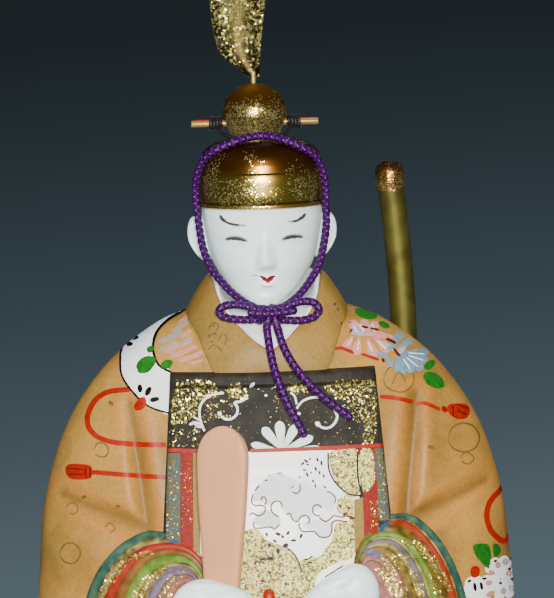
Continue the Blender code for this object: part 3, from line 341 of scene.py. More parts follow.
stageSettings = {
    "floorRadius": 125.0, "floorThickness": 4.0, "floorBevel": 0.6, "floorSides": 128,
    "floorColour": "#D9D7D2", "floorCloud": "#E2E0DC",
    # the backdrop, darker above and paler below: painted shade
    "backStrength": 1.0, "backSlope": (0.05, 0.0, -1.0),
    "backColours": "0 #22292D 0.05 #2A3539 0.12 #39454D 0.17 #455158 0.22 #526066 0.26 #596971",
    # name, place, size, power, colour and the height it is aimed at; only the flash shows in what shines,
    # as the wide lamps are there to fill the shadows
    "lamps": (("cameraFlash", (0.00, -0.68, 0.25), 0.10, 9.2, "#FFFAF2", 0.11),
              ("softFill", (-0.55, -0.45, 0.55), 0.70, 4.6, "#E8F0FF", 0.10),
              ("softTop", (0.35, -0.10, 0.75), 0.60, 3.6, "#F4F6FF", 0.10),
              ("softBack", (0.20, 0.75, 0.50), 0.60, 6.0, "#FFFFFF", 0.10)),
}


def makeStage(s):
    world = bpy.data.worlds.new("studio")
    bpy.context.scene.world = world
    world.use_nodes = True
    known = {}
    for label, kind, settings in (
            ("way", "TexCoord", {}),
            ("slope", "VectorMath", {"operation": "DOT_PRODUCT", 0: "way Generated", 1: s["backSlope"]}),
            ("shade", "ValToRGB", {"Fac": "slope Value", "stops": s["backColours"]}),
            ("Background", "", {"Color": "shade", "Strength": s["backStrength"]})):
        addNode(world.node_tree, known, label, kind, settings)
    for name, place, size, power, colour, aim in s["lamps"]:
        lamp = bpy.data.lights.new(name, "AREA")
        lamp.shape, lamp.size, lamp.energy, lamp.color = "DISK", size, power, toLinear(colour)[:3]
        item = bpy.data.objects.new(name, lamp)
        item.location = place
        item.rotation_euler = (Vector((0, 0, aim)) - Vector(place)).to_track_quat("-Z", "Y").to_euler()
        item.visible_glossy = name == "cameraFlash"
        bpy.context.scene.collection.objects.link(item)
    floor = addRod("paleFloor", s["floorRadius"], s["floorThickness"], (0, 0, -s["floorThickness"] / 2),
                   s["floorSides"])
    applyModifier(floor, "BEVEL", width=s["floorBevel"] * mm, segments=2, limit_method="ANGLE")
    # matt painted board: pale, with a faint unevenness
    floor.data.materials.append(makeMaterial("mattPaintedBoard", {"Roughness": 0.8, "Base Color": "colour 2"}, {
        "tone": ("TexNoise", {"Scale": 60, "Detail": 3}),
        "colour": ("Mix", {0: "tone", 6: s["floorColour"], 7: s["floorCloud"]})}))


makeStage(stageSettings)
print("camera, floor and light made")


# Robe: lacquered clay shell

robeSettings = {
    "halfWidth": 78.5, "front": 50.0, "back": 60.0, "height": 128.0, "power": 2.3,
    "segments": 360, "levels": 200,
    # height, half width, front depth and back depth, as shares
    "rows": (
        (0.000, 0.955, 0.93, 1.000), (0.045, 0.994, 0.97, 1.000), (0.110, 1.000, 1.00, 0.935),
        (0.205, 1.000, 0.93, 0.840), (0.300, 0.991, 0.84, 0.770), (0.390, 0.978, 0.785, 0.720),
        (0.470, 0.966, 0.745, 0.685), (0.547, 0.943, 0.705, 0.642), (0.625, 0.908, 0.668, 0.600),
        (0.688, 0.871, 0.642, 0.567), (0.750, 0.820, 0.614, 0.533), (0.805, 0.763, 0.586, 0.500),
        (0.860, 0.690, 0.548, 0.458), (0.906, 0.611, 0.502, 0.408), (0.945, 0.525, 0.442, 0.350),
        (0.977, 0.440, 0.370, 0.283), (1.000, 0.344, 0.282, 0.217)),
    "creaseTop": (0.575, 0.79), "creaseCorner": (0.513, 0.495), "creaseOuter": (0.86, 0.565),
    "creaseDepth": 1.8, "creaseSpread": 2.3, "ridgeHeight": 0.8, "ridgeOffset": 4.4, "ridgeSpread": 2.2,
    "upperArmSwell": 2.4, "upperArmBlend": 8.0, "forearmSwell": 7.0, "forearmBlend": 15.0,
    "forearmInner": (0.24, 0.46), "reliefFade": 4,
    # where the folds are darkened in the crease, a painted shade, and lightened along the ridge beside it, a painted
    # highlight: how far from the crease, how wide and how much
    "foldShadeAndHighlight": (("valley", 0.0, 1.6, 0.7), ("ridge", 4.4, 1.8, 0.7)),
    "hollowHalves": (62.0, 37.0, 42.0), "hollowHeight": 84.0, "hollowLevels": 24,
    "hollowRows": ((0.0, 1.0), (0.30, 0.95), (0.55, 0.82), (0.78, 0.60), (0.93, 0.34), (1.0, 0.12)),
    "socketPlace": (46.4, 26.5), "socketRadius": 4.85, "socketBottom": 54.65, "socketSides": 48,
}


def segmentDistance(x, z, start, end):
    dx, dz = end[0] - start[0], end[1] - start[1]
    part = np.clip(((x - start[0]) * dx + (z - start[1]) * dz) / (dx * dx + dz * dz), 0, 1)
    return np.hypot(x - start[0] - part * dx, z - start[1] - part * dz)


def robeRelief(s, x, z):
    top, corner, outer = ((s[name][0] * s["halfWidth"], s[name][1] * s["height"])
                          for name in ("creaseTop", "creaseCorner", "creaseOuter"))
    side = np.abs(x)
    slope = (outer[1] - corner[1]) / (outer[0] - corner[0])
    foldHeight = corner[1] + slope * np.maximum(side - corner[0], 0)
    below = smoothStep(0, s["forearmBlend"], foldHeight - z)
    inner, full = (share * s["halfWidth"] for share in s["forearmInner"])
    forearm = s["forearmSwell"] * below * smoothStep(inner, full, side)
    creaseX = corner[0] + (top[0] - corner[0]) / (top[1] - corner[1]) * (z - corner[1])
    beside = smoothStep(0, s["upperArmBlend"], side - creaseX)
    above = smoothStep(0, s["upperArmBlend"], z - foldHeight) * smoothStep(0, s["forearmBlend"], top[1] - z)
    distance = np.minimum(segmentDistance(side, z, top, corner), segmentDistance(side, z, corner, outer))
    valley = s["creaseDepth"] * bell(distance, s["creaseSpread"])
    ridge = s["ridgeHeight"] * bell(distance - s["ridgeOffset"], s["ridgeSpread"])
    return forearm + s["upperArmSwell"] * beside * above - valley + ridge, distance


def robeFront(s, x, z, withRelief=True):
    x, z = np.asarray(x, float), np.asarray(z, float)
    row = rowAtHeight(s["rows"], z / s["height"])
    across = np.minimum(np.abs(x) / (row[..., 1] * s["halfWidth"]), 1)
    depth = row[..., 2] * s["front"] * (1 - across ** s["power"]) ** (1 / s["power"])
    relief = robeRelief(s, x, z)[0] * (1 - across ** s["reliefFade"]) if withRelief else 0
    return -depth - relief


def makeRobe(s):
    rings = sizedRings(splineRows(s["hollowRows"], s["hollowLevels"])[::-1], (0, 0, 0), s["hollowHeight"],
                       s["hollowHalves"], s["segments"], s["power"])
    for height, width, front, back in splineRows(s["rows"], s["levels"]):
        half = width * s["halfWidth"]
        ring = ovalRing((0, 0, height * s["height"]), half, front * s["front"], back * s["back"],
                        s["segments"], s["power"])
        fade = 1 - np.minimum(np.abs(ring[:, 0]) / half, 1) ** s["reliefFade"]
        relief = robeRelief(s, ring[:, 0], ring[:, 2])[0] * fade
        ring[:, 1] -= np.where(ring[:, 1] < 0, relief, 0)
        rings.append(ring)
    made = bridgeRings("robeShell", rings, 50)
    low, high = s["socketBottom"], s["height"]
    drillOut(made, 50, (s["socketRadius"], high - low, (*s["socketPlace"], (low + high) / 2), s["socketSides"]))
    # the crease valleys get painted shade and the ridges beside them a painted highlight, stored by place
    x, y, z = pointPlaces(made).T
    distance = robeRelief(s, x, z)[1]
    for label, middle, spread, most in s["foldShadeAndHighlight"]:
        storeValues(made, label, most * bell(distance - middle, spread) * (y < 0))
    return made


def ghostFlowers(size):
    # faint chrysanthemum rounds: petals counted round each cell's centre
    return {
        "scaled": ("VectorMath", {"operation": "SCALE", 0: "place Object", "Scale": 1 / size}),
        "cells": ("TexVoronoi", {"Scale": 1, "Randomness": 0.75, "Vector": "scaled"}),
        "away": ("VectorMath", {"operation": "SUBTRACT", 0: "scaled", 1: "cells Position"}),
        "parts": ("SeparateXYZ", {0: "away"}),
        "angle": ("Math", {"operation": "ARCTAN2", 0: "parts 2", 1: "parts 0"}),
        "turns": ("Math", {"operation": "MULTIPLY", 0: "angle", 1: 8}),
        "wave": ("Math", {"operation": "SINE", 0: "turns"}),
        "petals": ("Math", {"operation": "MULTIPLY_ADD", 0: "wave", 1: 0.035, 2: 0}),
        "reach": ("Math", {"operation": "ADD", 0: "cells", 1: "petals"}),
        "flowers": ("ValToRGB", {"Fac": "reach", "stops": "0 #9A9A9A 0.07 #404040 0.10 #C8C8C8 0.20 #909090 "
                                                          "0.27 #E0E0E0 0.31 #303030 0.36 #000000 1 #000000"}),
    }


def makeLacqueredOchre(name, light="#B4863C", deep="#86602A"):
    # fired clay painted ochre and lacquered: warm, half gloss, with pale and olive ghosts of old flowers,
    # painted shade darkening the folds' creases and a painted highlight in lighter orange along their ridges
    return makeMaterial(name, {
        "Specular IOR Level": 0.22, "Coat Weight": 0.06, "Coat Roughness": 0.36, "Coat IOR": 1.5,
        "Base Color": "colour 2", "Roughness": "rough", "Normal": "bump"}, {
        "cloud": ("TexNoise", {"Scale": 28, "Detail": 4, "Roughness": 0.55}),
        "tone": ("ValToRGB", {"Fac": "cloud", "stops": "0.36 #000000 0.60 #FFFFFF"}),
        "base": ("Mix", {0: "tone", 6: deep, 7: light}),
        **ghostFlowers(0.024),
        "veil": ("TexNoise", {"Scale": 34, "Detail": 2}),
        "seen": ("ValToRGB", {"Fac": "veil", "stops": "0.36 #000000 0.50 #D0D0D0"}),
        "strength": ("Mix", {"blend_type": "MULTIPLY", 0: 1, 6: "flowers", 7: "seen"}),
        "ghosted": ("Mix", {0: "strength 2", 6: "base 2", 7: "#7A6C34"}),
        "moss": ("TexNoise", {"Scale": 21, "Detail": 5, "Distortion": 1.2}),
        "olive": ("ValToRGB", {"Fac": "moss", "stops": "0.50 #000000 0.66 #A4A4A4"}),
        "stained": ("Mix", {0: "olive", 6: "ghosted 2", 7: "#6E6430"}),
        # painted shade in the crease valleys, then a painted highlight along the ridges
        "valley": ("Attribute", {"attribute_name": "valley"}),
        "rubbed": ("Mix", {0: "valley Fac", 6: "stained 2", 7: "#6C4A1A"}),
        "ridge": ("Attribute", {"attribute_name": "ridge"}),
        "worn": ("Mix", {0: "ridge Fac", 6: "rubbed 2", 7: "#B87A34"}),
        "grain": ("TexNoise", {"Scale": 900, "Detail": 2}),
        "speck": ("ValToRGB", {"Fac": "grain", "stops": "0.35 #D8D8D8 0.62 #FFFFFF"}),
        "specked": ("Mix", {"blend_type": "MULTIPLY", 0: 1, 6: "worn 2", 7: "speck"}),
        "colour": ("Mix", {0: 0.55, 6: "worn 2", 7: "specked 2"}),
        "rough": ("ValToRGB", {"Fac": "cloud", "stops": "0.3 #B4B4B4 0.7 #C8C8C8"}),
        "swell": ("TexNoise", {"Scale": 130, "Detail": 3}),
        "bump": ("Bump", {"Height": "swell", "Distance": 0.0004, "Strength": 0.35}),
    })


ochreLacquer = makeLacqueredOchre("lacqueredOchreClay")
robe = makeRobe(robeSettings)
robeTree = treeOf(robe)
finishPiece(robe, ochreLacquer, "doll", "ochre_lacquered_clay", "robe_body")
print("robe made")


# Collars: the ochre one over the white one

collarSettings = {
    "centreX": -0.6, "neckY": 3.0, "side": 18.8, "reach": 27.0, "front": 29.0, "back": 21.5,
    "peak": 139.5, "notch": 117.6, "hem": 109.0, "stations": 70, "profilePoints": 20, "profilePower": 5.0,
    # each collar's distance from the robe, thickness, rise and how far it bulges
    "ochre": (0.0, 1.7, 0.0, 0.5), "white": (2.05, 1.4, 0.7, 0.0),
    "edgeRows": (
        (0.00, -0.985, 0.015), (0.17, -0.97, 0.11), (0.32, -0.94, 0.21), (0.46, -0.88, 0.33), (0.62, -0.80, 0.46),
        (0.76, -0.70, 0.60), (0.87, -0.56, 0.76), (0.94, -0.38, 0.93), (0.985, -0.10, 0.99), (1.00, 0.28, 1.00),
        (0.80, 0.70, 1.00), (0.42, 0.94, 1.00), (0.00, 1.00, 1.00)),
    "hemRows": (
        (0.00, -1.00, 0.00), (0.30, -1.00, 0.00), (0.55, -0.98, 0.02), (0.67, -0.94, 0.09),
        (0.735, -0.88, 0.20), (0.80, -0.775, 0.34), (0.87, -0.60, 0.48), (0.95, -0.41, 0.56),
        (1.00, -0.10, 0.57), (1.00, 0.25, 0.52), (0.85, 0.72, 0.40), (0.45, 1.02, 0.32), (0.00, 1.10, 0.30)),
    # the white underlayer: how far in and up from the lapels' edge to the neck each of its rings lies
    "underRows": ((0.0, 0.0), (0.10, 0.30), (0.25, 0.58), (0.50, 0.82), (0.80, 0.96), (1.0, 1.0)),
    "underInset": 2.4, "underDrop": 0.4, "neckRadius": 8.6, "neckTop": 129.2, "underThickness": 2.5,
}


def collarEdges(s):
    edges = []
    for rows, half, low in ((s["edgeRows"], s["side"], s["notch"]), (s["hemRows"], s["reach"], s["hem"])):
        line = splineRows(rows, s["stations"])
        depth = np.where(line[:, 1] < 0, s["front"], s["back"]) * line[:, 1]
        spots = np.stack([line[:, 0] * half, depth, low + line[:, 2] * (s["peak"] - low)], axis=1)
        mirrored = spots[-2:0:-1] * (-1, 1, 1)
        edges.append(np.concatenate([spots, mirrored]) + (s["centreX"], 0, 0))
    return edges


def makeCollar(name, s, start, thickness, rise, bulge):
    top, low = collarEdges(s)
    along = np.roll(top, -1, axis=0) - np.roll(top, 1, axis=0)
    inward = np.cross(along, low - top)
    inward /= np.linalg.norm(inward, axis=1)[:, None]
    toNeck = np.array((s["centreX"], s["neckY"], 0.0)) - low
    inward *= np.where((inward * toNeck).sum(axis=1) < 0, -1, 1)[:, None]
    depth, height = (0.5 + 0.5 * value for value in roundedTurn(s["profilePoints"], s["profilePower"]))
    rings = []
    for a, b, n in zip(top, low, inward):
        ring = b[None] + (a - b)[None] * height[:, None]
        ring = ring + n[None] * (start + depth * thickness - bulge * np.sin(np.pi * height))[:, None]
        ring[:, 2] += rise * height
        rings.append(ring)
    return bridgeRings(name, rings, 50, looped=True)


def makeUnderlayer(s):
    # from inside the lapels' edge up to the neck, bulging forward as folded cloth does
    top, _ = collarEdges(s)
    neck = np.array((s["centreX"], s["neckY"]))
    away = top[:, :2] - neck
    reach = np.linalg.norm(away, axis=1)
    way = away / reach[:, None]
    rings = []
    for inward, upward in s["underRows"]:
        radius = (reach - s["underInset"]) * (1 - inward) + s["neckRadius"] * inward
        height = top[:, 2] - s["underDrop"] + (s["neckTop"] - top[:, 2]) * upward
        rings.append(np.column_stack([neck + way * radius[:, None], height]))
    # its hidden side lies a little lower
    rings += [ring - (0, 0, s["underThickness"]) for ring in rings[::-1]]
    return bridgeRings("whiteUnderlayer", rings, 60, looped=True)


def makeWhiteClay(name, light, deep, rough=0.5, coat=0.0, scale=160.0):
    # white ground shell paint over clay: chalky, a little cool, faintly uneven from the brush
    return makeMottled(name, {
        "Roughness": rough, "IOR": 1.5, "Subsurface Weight": 0.08, "Subsurface Scale": 0.002,
        "Coat Weight": coat, "Coat Roughness": 0.25}, {"Scale": scale, "Detail": 4},
        f"0.35 {deep} 0.62 {light}", (0.00008, 0.25), grain=1400)


ochreCollar = finishPiece(makeCollar("robeLapels", collarSettings, *collarSettings["ochre"]),
                          makeLacqueredOchre("lacqueredOchreCollar", "#987638", "#7C6024"),
                          "doll", "ochre_collar_clay", "robe_collar")
whiteCollarPaint = makeWhiteClay("whiteCollarPaint", "#EEEFEE", "#E2E4E4")
finishPiece(makeCollar("innerLapels", collarSettings, *collarSettings["white"]), whiteCollarPaint,
            "doll", "white_collar_clay", "inner_collar")
finishPiece(makeUnderlayer(collarSettings), whiteCollarPaint, "doll", "white_collar_clay")
print("collars made")


# Head with its face, and the ears

headSettings = {
    "centreX": -1.3, "halfWidth": 18.6, "front": 18.6, "back": 20.5, "bottom": 130.4, "height": 51.0,
    "power": 2.15, "segments": 200, "levels": 150,
    # height, half width, front and back, as shares, and how far forward the middle lies
    "rows": (
        (0.000, 0.22, 0.22, 0.22, 0.62), (0.045, 0.36, 0.36, 0.36, 0.52), (0.090, 0.52, 0.55, 0.45, 0.36),
        (0.150, 0.67, 0.74, 0.60, 0.18), (0.230, 0.83, 0.88, 0.74, 0.06), (0.310, 0.92, 0.93, 0.86, 0.00),
        (0.420, 0.985, 0.94, 0.96, 0.00), (0.520, 1.030, 0.96, 1.00, 0.00), (0.620, 1.035, 0.98, 1.00, 0.00),
        (0.720, 0.960, 0.94, 0.95, 0.00), (0.820, 0.870, 0.84, 0.85, 0.00), (0.910, 0.690, 0.66, 0.68, 0.00),
        (0.970, 0.450, 0.43, 0.45, 0.00), (1.000, 0.150, 0.14, 0.15, 0.00)),
    # bumps on the front: x and z of the middle, half sizes, and how far they stand out, all in mm
    "bumps": (
        (-1.1, 144.4, 2.5, 2.0, 2.3), (-1.1, 148.0, 1.5, 4.2, 1.6), (-2.9, 143.6, 1.3, 1.3, 0.5),
        (0.8, 143.6, 1.3, 1.3, 0.5), (-1.0, 139.7, 2.6, 1.0, 0.45), (-1.0, 137.5, 2.4, 1.2, 0.45),
        (-1.0, 138.6, 2.4, 0.5, -0.35), (-1.0, 135.3, 3.4, 1.3, -0.35), (-1.1, 132.8, 4.0, 2.0, 0.35),
        (-11.0, 150.6, 4.6, 2.0, -0.55), (8.6, 150.8, 4.6, 2.0, -0.55),
        (-11.0, 152.0, 4.2, 1.5, 0.40), (8.6, 152.2, 4.2, 1.5, 0.40),
        (-12.0, 143.5, 5.0, 5.0, 0.35), (9.6, 143.5, 5.0, 5.0, 0.35)),
    "neckRadius": 8.3, "neckY": 3.0, "neckHeights": (112.0, 140.0, 12), "neckSegments": 64,
}


def makeHead(s):
    rings = []
    for height, width, front, back, shift in splineRows(s["rows"], s["levels"]):
        z = s["bottom"] + height * s["height"]
        ring = ovalRing((s["centreX"], -shift * s["front"], z), width * s["halfWidth"], front * s["front"],
                        back * s["back"], s["segments"], s["power"])
        for x, middle, halfX, halfZ, proud in s["bumps"]:
            swell = proud * np.exp(-((ring[:, 0] - x) / halfX) ** 2 - ((z - middle) / halfZ) ** 2)
            ring[:, 1] -= np.where(ring[:, 1] < -shift * s["front"], swell, 0)
        rings.append(ring)
    neckRings = [roundRing((s["centreX"], s["neckY"], z), s["neckRadius"], s["neckSegments"])
                 for z in np.linspace(*s["neckHeights"])]
    return bridgeRings("headWithFace", rings, 60), bridgeRings("neckPlug", neckRings, 60)


earSettings = {
    "outset": 1.5, "middleY": 3.5, "middleZ": 151.0, "halfWidth": 3.9, "halfDepth": 4.2, "halfLength": 7.6,
    "lean": 12.0, "segments": 48, "rings": 32, "lobeTaper": 0.28, "root": 4.0,
    # which way the bowl opens and lies, forward and out, then its shape and its rim's
    "facing": (0.75, 0.55), "across": (0.35, 0.75), "bowlDepth": 1.9, "bowlLength": 0.62, "bowlWidth": 0.55,
    "rimHeight": 0.5, "rimPlace": 1.35, "rimSpread": 0.25,
}


def makeEar(name, side, s, head):
    deselectAll()
    bpy.ops.mesh.primitive_uv_sphere_add(segments=s["segments"], ring_count=s["rings"], radius=1.0)
    ear = bpy.context.active_object
    ear.name = ear.data.name = name
    turn = Matrix.Rotation(side * math.radians(s["lean"]), 4, "Y")
    middle = Vector((head["centreX"] + side * (head["halfWidth"] + s["outset"]), s["middleY"], s["middleZ"]))
    for vertex in ear.data.vertices:
        x, y, z = vertex.co
        out = side * x
        facing = max(-y * s["facing"][0] + out * s["facing"][1], 0.0)
        across = (y * s["across"][0] + out * s["across"][1]) / s["bowlWidth"]
        spread = across * across + (z / s["bowlLength"]) ** 2
        bowl = s["bowlDepth"] * math.exp(-spread * spread)
        rim = s["rimHeight"] * bell(math.sqrt(spread) - s["rimPlace"], s["rimSpread"])
        taper = 1 - s["lobeTaper"] * max(-z, 0.0)
        inward = side * s["root"] * max(-out, 0.0)
        local = Vector((x * s["halfWidth"] * taper - inward, y * s["halfDepth"] * taper + (bowl - rim) * facing,
                        z * s["halfLength"]))
        vertex.co = (middle + turn @ local) * mm
    smoothShade(ear, 60)
    return ear


gofunPaint = makeWhiteClay("gofunShellPaint", "#E4FAF6", "#DCF2EE", 0.42, 0.15, 60.0)
headPiece, neckPiece = makeHead(headSettings)
headTree = treeOf(headPiece)
finishPiece(joinPieces("headWithFace", [headPiece, neckPiece]), gofunPaint, "doll", "white_gofun_clay", "head")
for earName, earSide in (("earRight", -1), ("earLeft", 1)):
    finishPiece(makeEar(earName, earSide, earSettings, headSettings), gofunPaint, "doll", "white_gofun_clay")
print("head made")


# Cap, topknot case, hairpin and plume

def makeGilt(name, grounds, flake, covers, span, rough, grain, spread):
    # gold leaf powder over lacquer: each flake lies tipped its own way, so they catch the light one by one.
    # grounds and covers change over the span of heights: the lacquer's colour, and how much gold is on it
    return makeMaterial(name, {"Metallic": 0.9, "Roughness": rough, "Base Color": "colour 2", "Normal": "normal"}, {
        "rise": ("SeparateXYZ", {0: "place Object"}),
        "level": ("MapRange", {"From Min": span[0] * mm, "From Max": span[1] * mm, "Value": "rise 2"}),
        "cells": ("TexVoronoi", {"Scale": grain}),
        "chance": ("TexWhiteNoise", {"Vector": "cells Position"}),
        "cloud": ("TexNoise", {"Scale": 95, "Detail": 4, "Roughness": 0.6}),
        "patchy": ("Math", {"operation": "MULTIPLY_ADD", 0: "cloud", 1: 1.4, 2: -0.7}),
        "wanted": ("ValToRGB", {"Fac": "level", "stops": covers}),
        "share": ("Math", {"operation": "ADD", 0: "wanted", 1: "patchy"}),
        "shown": ("Math", {"operation": "LESS_THAN", 0: "chance", 1: "share"}),
        "ground": ("ValToRGB", {"Fac": "level", "stops": grounds}),
        "colour": ("Mix", {0: "shown", 6: "ground", 7: flake}),
        "off": ("VectorMath", {"operation": "SUBTRACT", 0: "cells Color", 1: (0.5, 0.5, 0.5)}),
        "reach": ("Math", {"operation": "MULTIPLY", 0: "shown", 1: spread}),
        "tipped": ("VectorMath", {"operation": "SCALE", 0: "off", "Scale": "reach"}),
        "flat": ("NewGeometry", {}),
        "turned": ("VectorMath", {"operation": "ADD", 0: "flat Normal", 1: "tipped"}),
        "normal": ("VectorMath", {"operation": "NORMALIZE", 0: "turned"}),
    })


capSettings = {
    "halves": (20.3, 21.0, 22.4), "rim": 161.7, "height": 21.7, "power": 2.15, "segments": 160, "crownLevels": 40,
    # height and size shares: rolled rim and its groove, upright band, its edge, then the low crown
    "bandRows": (
        (0.000, 0.955), (0.000, 0.985), (0.010, 1.000), (0.035, 1.004), (0.055, 1.000), (0.068, 0.990),
        (0.075, 0.984), (0.085, 0.990), (0.200, 0.992), (0.350, 0.994), (0.485, 0.995), (0.500, 0.990),
        (0.510, 0.980)),
    "crownRows": (
        (0.518, 0.975), (0.580, 0.972), (0.640, 0.965), (0.760, 0.930), (0.845, 0.865), (0.910, 0.765),
        (0.955, 0.620), (0.986, 0.380), (1.000, 0.100)),
}


def makeCap(s):
    rows = [*s["bandRows"], *splineRows(s["crownRows"], s["crownLevels"])]
    middle = (headSettings["centreX"], 0, s["rim"])
    return bridgeRings("giltCap", sizedRings(rows, middle, s["height"], s["halves"], s["segments"], s["power"]), 35)


# in the groove above the rim the ground darkens and the gold thins, a painted shadow line; up the crown the ground
# darkens and the gold thins towards the top
giltCap = makeGilt(
    "giltLacquerCap", "0 #B08C40 0.055 #A88438 0.065 #5A4216 0.085 #6A5220 0.10 #84702C 0.44 #84702C "
    "0.50 #7A5A20 0.60 #6A4212 0.85 #5C3812 1 #3C200A", "#F0E294",
    "0 #666666 0.055 #666666 0.065 #333333 0.10 #707070 0.40 #808080 0.50 #575757 0.60 #424242 1 #383838",
    (capSettings["rim"], capSettings["rim"] + capSettings["height"]), 0.25, 3000.0, 0.25)
finishPiece(makeCap(capSettings), giltCap, "doll", "gilt_lacquer", "cap")

caseSettings = {
    "x": -2.6, "y": 8.0, "bottom": 183.0, "height": 17.6, "radius": 10.5, "segments": 96, "levels": 56,
    "rows": ((-0.30, 0.60), (-0.02, 0.66), (0.0, 0.724), (0.22, 0.876), (0.42, 1.000), (0.60, 0.970),
             (0.78, 0.800), (0.91, 0.530), (0.98, 0.260), (1.0, 0.03)),
    "holeRadius": 1.45, "holeLength": 26.0, "pinHeight": 187.8,
    "stemRadius": 1.15, "stemLength": 14.0, "stemY": 11.0, "stemBottom": 191.6,
}


def makeCase(s):
    case = bridgeRings("giltCase", sizedRings(splineRows(s["rows"], s["levels"]), (s["x"], s["y"], s["bottom"]),
                                              s["height"], [s["radius"]] * 3, s["segments"]), 60)
    drillOut(case, 60, (s["holeRadius"], s["holeLength"], (s["x"], s["y"], s["pinHeight"]), 32, True),
             (s["stemRadius"], s["stemLength"], (s["x"], s["stemY"], s["stemBottom"] + s["stemLength"] / 2)))
    return case


# the gold lies thick on the lower half and thins towards the top: the bright lower half is a painted reflection and
# the darker top painted shade
giltBall = makeGilt(
    "giltLacquerCase", "0 #80702E 0.3 #7A6424 0.7 #7C541C 1 #B0742A", "#ECDC8C",
    "0 #CCCCCC 0.35 #B2B2B2 0.62 #737373 0.85 #333333 1 #333333",
    (caseSettings["bottom"], caseSettings["bottom"] + caseSettings["height"]), 0.28, 3000.0, 0.26)
finishPiece(makeCase(caseSettings), giltBall, "doll", "gilt_lacquer", "topknot_case")

pinSettings = {
    "radius": 1.1, "length": 41.4, "bevel": 0.35,
    "lineWidth": 0.5, "lineInset": 1.2, "lineOffset": (0, -0.35, 1.0), "lineSides": 12, "lineBevel": 0.1,
}


def makePin(s, case):
    middle = Vector((case["x"], case["y"], case["pinHeight"]))
    pin = addRod("hairpinRod", s["radius"], s["length"], middle, 32, True)
    applyModifier(pin, "BEVEL", width=s["bevel"] * mm, segments=3, limit_method="ANGLE")
    line = addRod("hairpinRedLine", s["lineWidth"] / 2, s["length"] - 2 * s["lineInset"],
                  middle + Vector(s["lineOffset"]), s["lineSides"], True)
    applyModifier(line, "BEVEL", width=s["lineBevel"] * mm, segments=2, limit_method="ANGLE")
    for piece in (pin, line):
        smoothShade(piece, 50)
    return pin, line


def makePaint(name, light, deep, rough=0.45, scale=420.0, bumpSize=0.00012, coat=0.04):
    # opaque mineral paint from a brush: even, with slightly thick and thin places
    return makeMottled(name, {"Roughness": rough, "Specular IOR Level": 0.2, "Coat Weight": coat,
                              "Coat Roughness": 0.25}, {"Scale": scale, "Detail": 4, "Roughness": 0.6},
                       f"0.36 {deep} 0.60 {light}", (bumpSize, 0.4))


# drawn brass rod, gilded: light gold with fine draw lines along it
pinMetal = makeMottled("drawnGiltBrass", {"Metallic": 0.6, "Roughness": 0.42}, {"Detail": 3},
                       "0.3 #8E7038 0.7 #C4A866", (0.00005, 0.5), (60, 2600, 2600))
redPaint = makePaint("vermilionPaint", "#A41A02", "#8C1400")
pinRod, pinLine = makePin(pinSettings, caseSettings)
finishPiece(pinRod, pinMetal, "doll", "gilt_pin_metal", "hairpin")
finishPiece(pinLine, redPaint, "doll", "gilt_pin_metal")


def tubeAlong(name, path, radius, sides):
    path = np.asarray(path, float)
    start = path[1] - path[0]
    first = (0, 0, 1) if abs(start[2]) < 0.9 * np.linalg.norm(start) else (1, 0, 0)
    angle = np.arange(sides) * tau / sides
    rings = [spot + radius * (np.cos(angle)[:, None] * across + np.sin(angle)[:, None] * other)
             for spot, across, other in carriedFrames(path, first)]
    return bridgeRings(name, rings, 60)


threadSettings = {
    "radius": 0.6, "turns": 4, "pitch": 1.06, "start": 10.6, "runRadius": 1.75, "perTurn": 28, "sides": 10,
    "wobble": 0.12, "wobbleStep": 0.37,
    # the ends' way under the case, from its middle: across, back and up
    "ends": ((11.0, -1.9, -0.4), (11.2, -3.2, -1.8), (10.0, -4.6, -3.4), (7.6, -6.2, -4.4), (4.8, -7.6, -4.7),
             (1.6, -8.6, -4.6)), "endRadius": 0.8, "endSpacing": 0.4,
}


def makeThreads(s, case, material):
    for side, label in ((-1, "Right"), (1, "Left")):
        steps = np.arange(s["turns"] * s["perTurn"] + 1)
        angle = steps * tau / s["perTurn"]
        reach = s["runRadius"] + s["wobble"] * np.sin(steps * s["wobbleStep"])
        x = case["x"] + side * (s["start"] + s["pitch"] * steps / s["perTurn"])
        path = np.stack([x, case["y"] + reach * np.cos(angle), case["pinHeight"] + reach * np.sin(angle)], axis=1)
        finishPiece(tubeAlong("pinBinding" + label, path, s["radius"], s["sides"]),
                    material, "doll", "black_silk_thread", "pin_binding_" + label.lower())
        # the thread's ends run round the foot of the case
        foot = [(case["x"] + side * x, case["y"] + y, case["pinHeight"] + z) for x, y, z in s["ends"]]
        line, _ = evenPath(foot, s["endSpacing"])
        finishPiece(tubeAlong("pinThreadEnd" + label, line, s["endRadius"], s["sides"]),
                    material, "doll", "black_silk_thread")


# twisted silk: dark strands with a soft shine across the fibres
blackSilk = makeMottled("blackSilkThread", {"Roughness": 0.55, "Sheen Weight": 0.05, "Sheen Roughness": 0.4},
                        {"Scale": 1500, "Detail": 2}, "0.35 #060506 0.65 #141216", (0.0001, 0.5))
makeThreads(threadSettings, caseSettings, blackSilk)


plumeSettings = {
    "x": -2.6, "y": 11.0, "bottom": 202.2, "height": 50.0, "width": 18.0, "curl": 3.0, "lean": 7.0,
    "columns": 34, "rows": 92, "thickness": 0.30, "stemRadius": 0.8, "stemSeat": 192.0,
    "edges": (
        (0.000, -0.050, 0.100), (0.055, -0.250, 0.115), (0.155, -0.550, 0.140), (0.240, -0.650, 0.160),
        (0.336, -0.700, 0.190), (0.500, -0.740, 0.260), (0.680, -0.750, 0.290), (0.840, -0.680, 0.270),
        (0.940, -0.530, 0.170), (1.000, -0.320, 0.010)),
    "netWire": 0.34, "stemTop": 204.2,
}


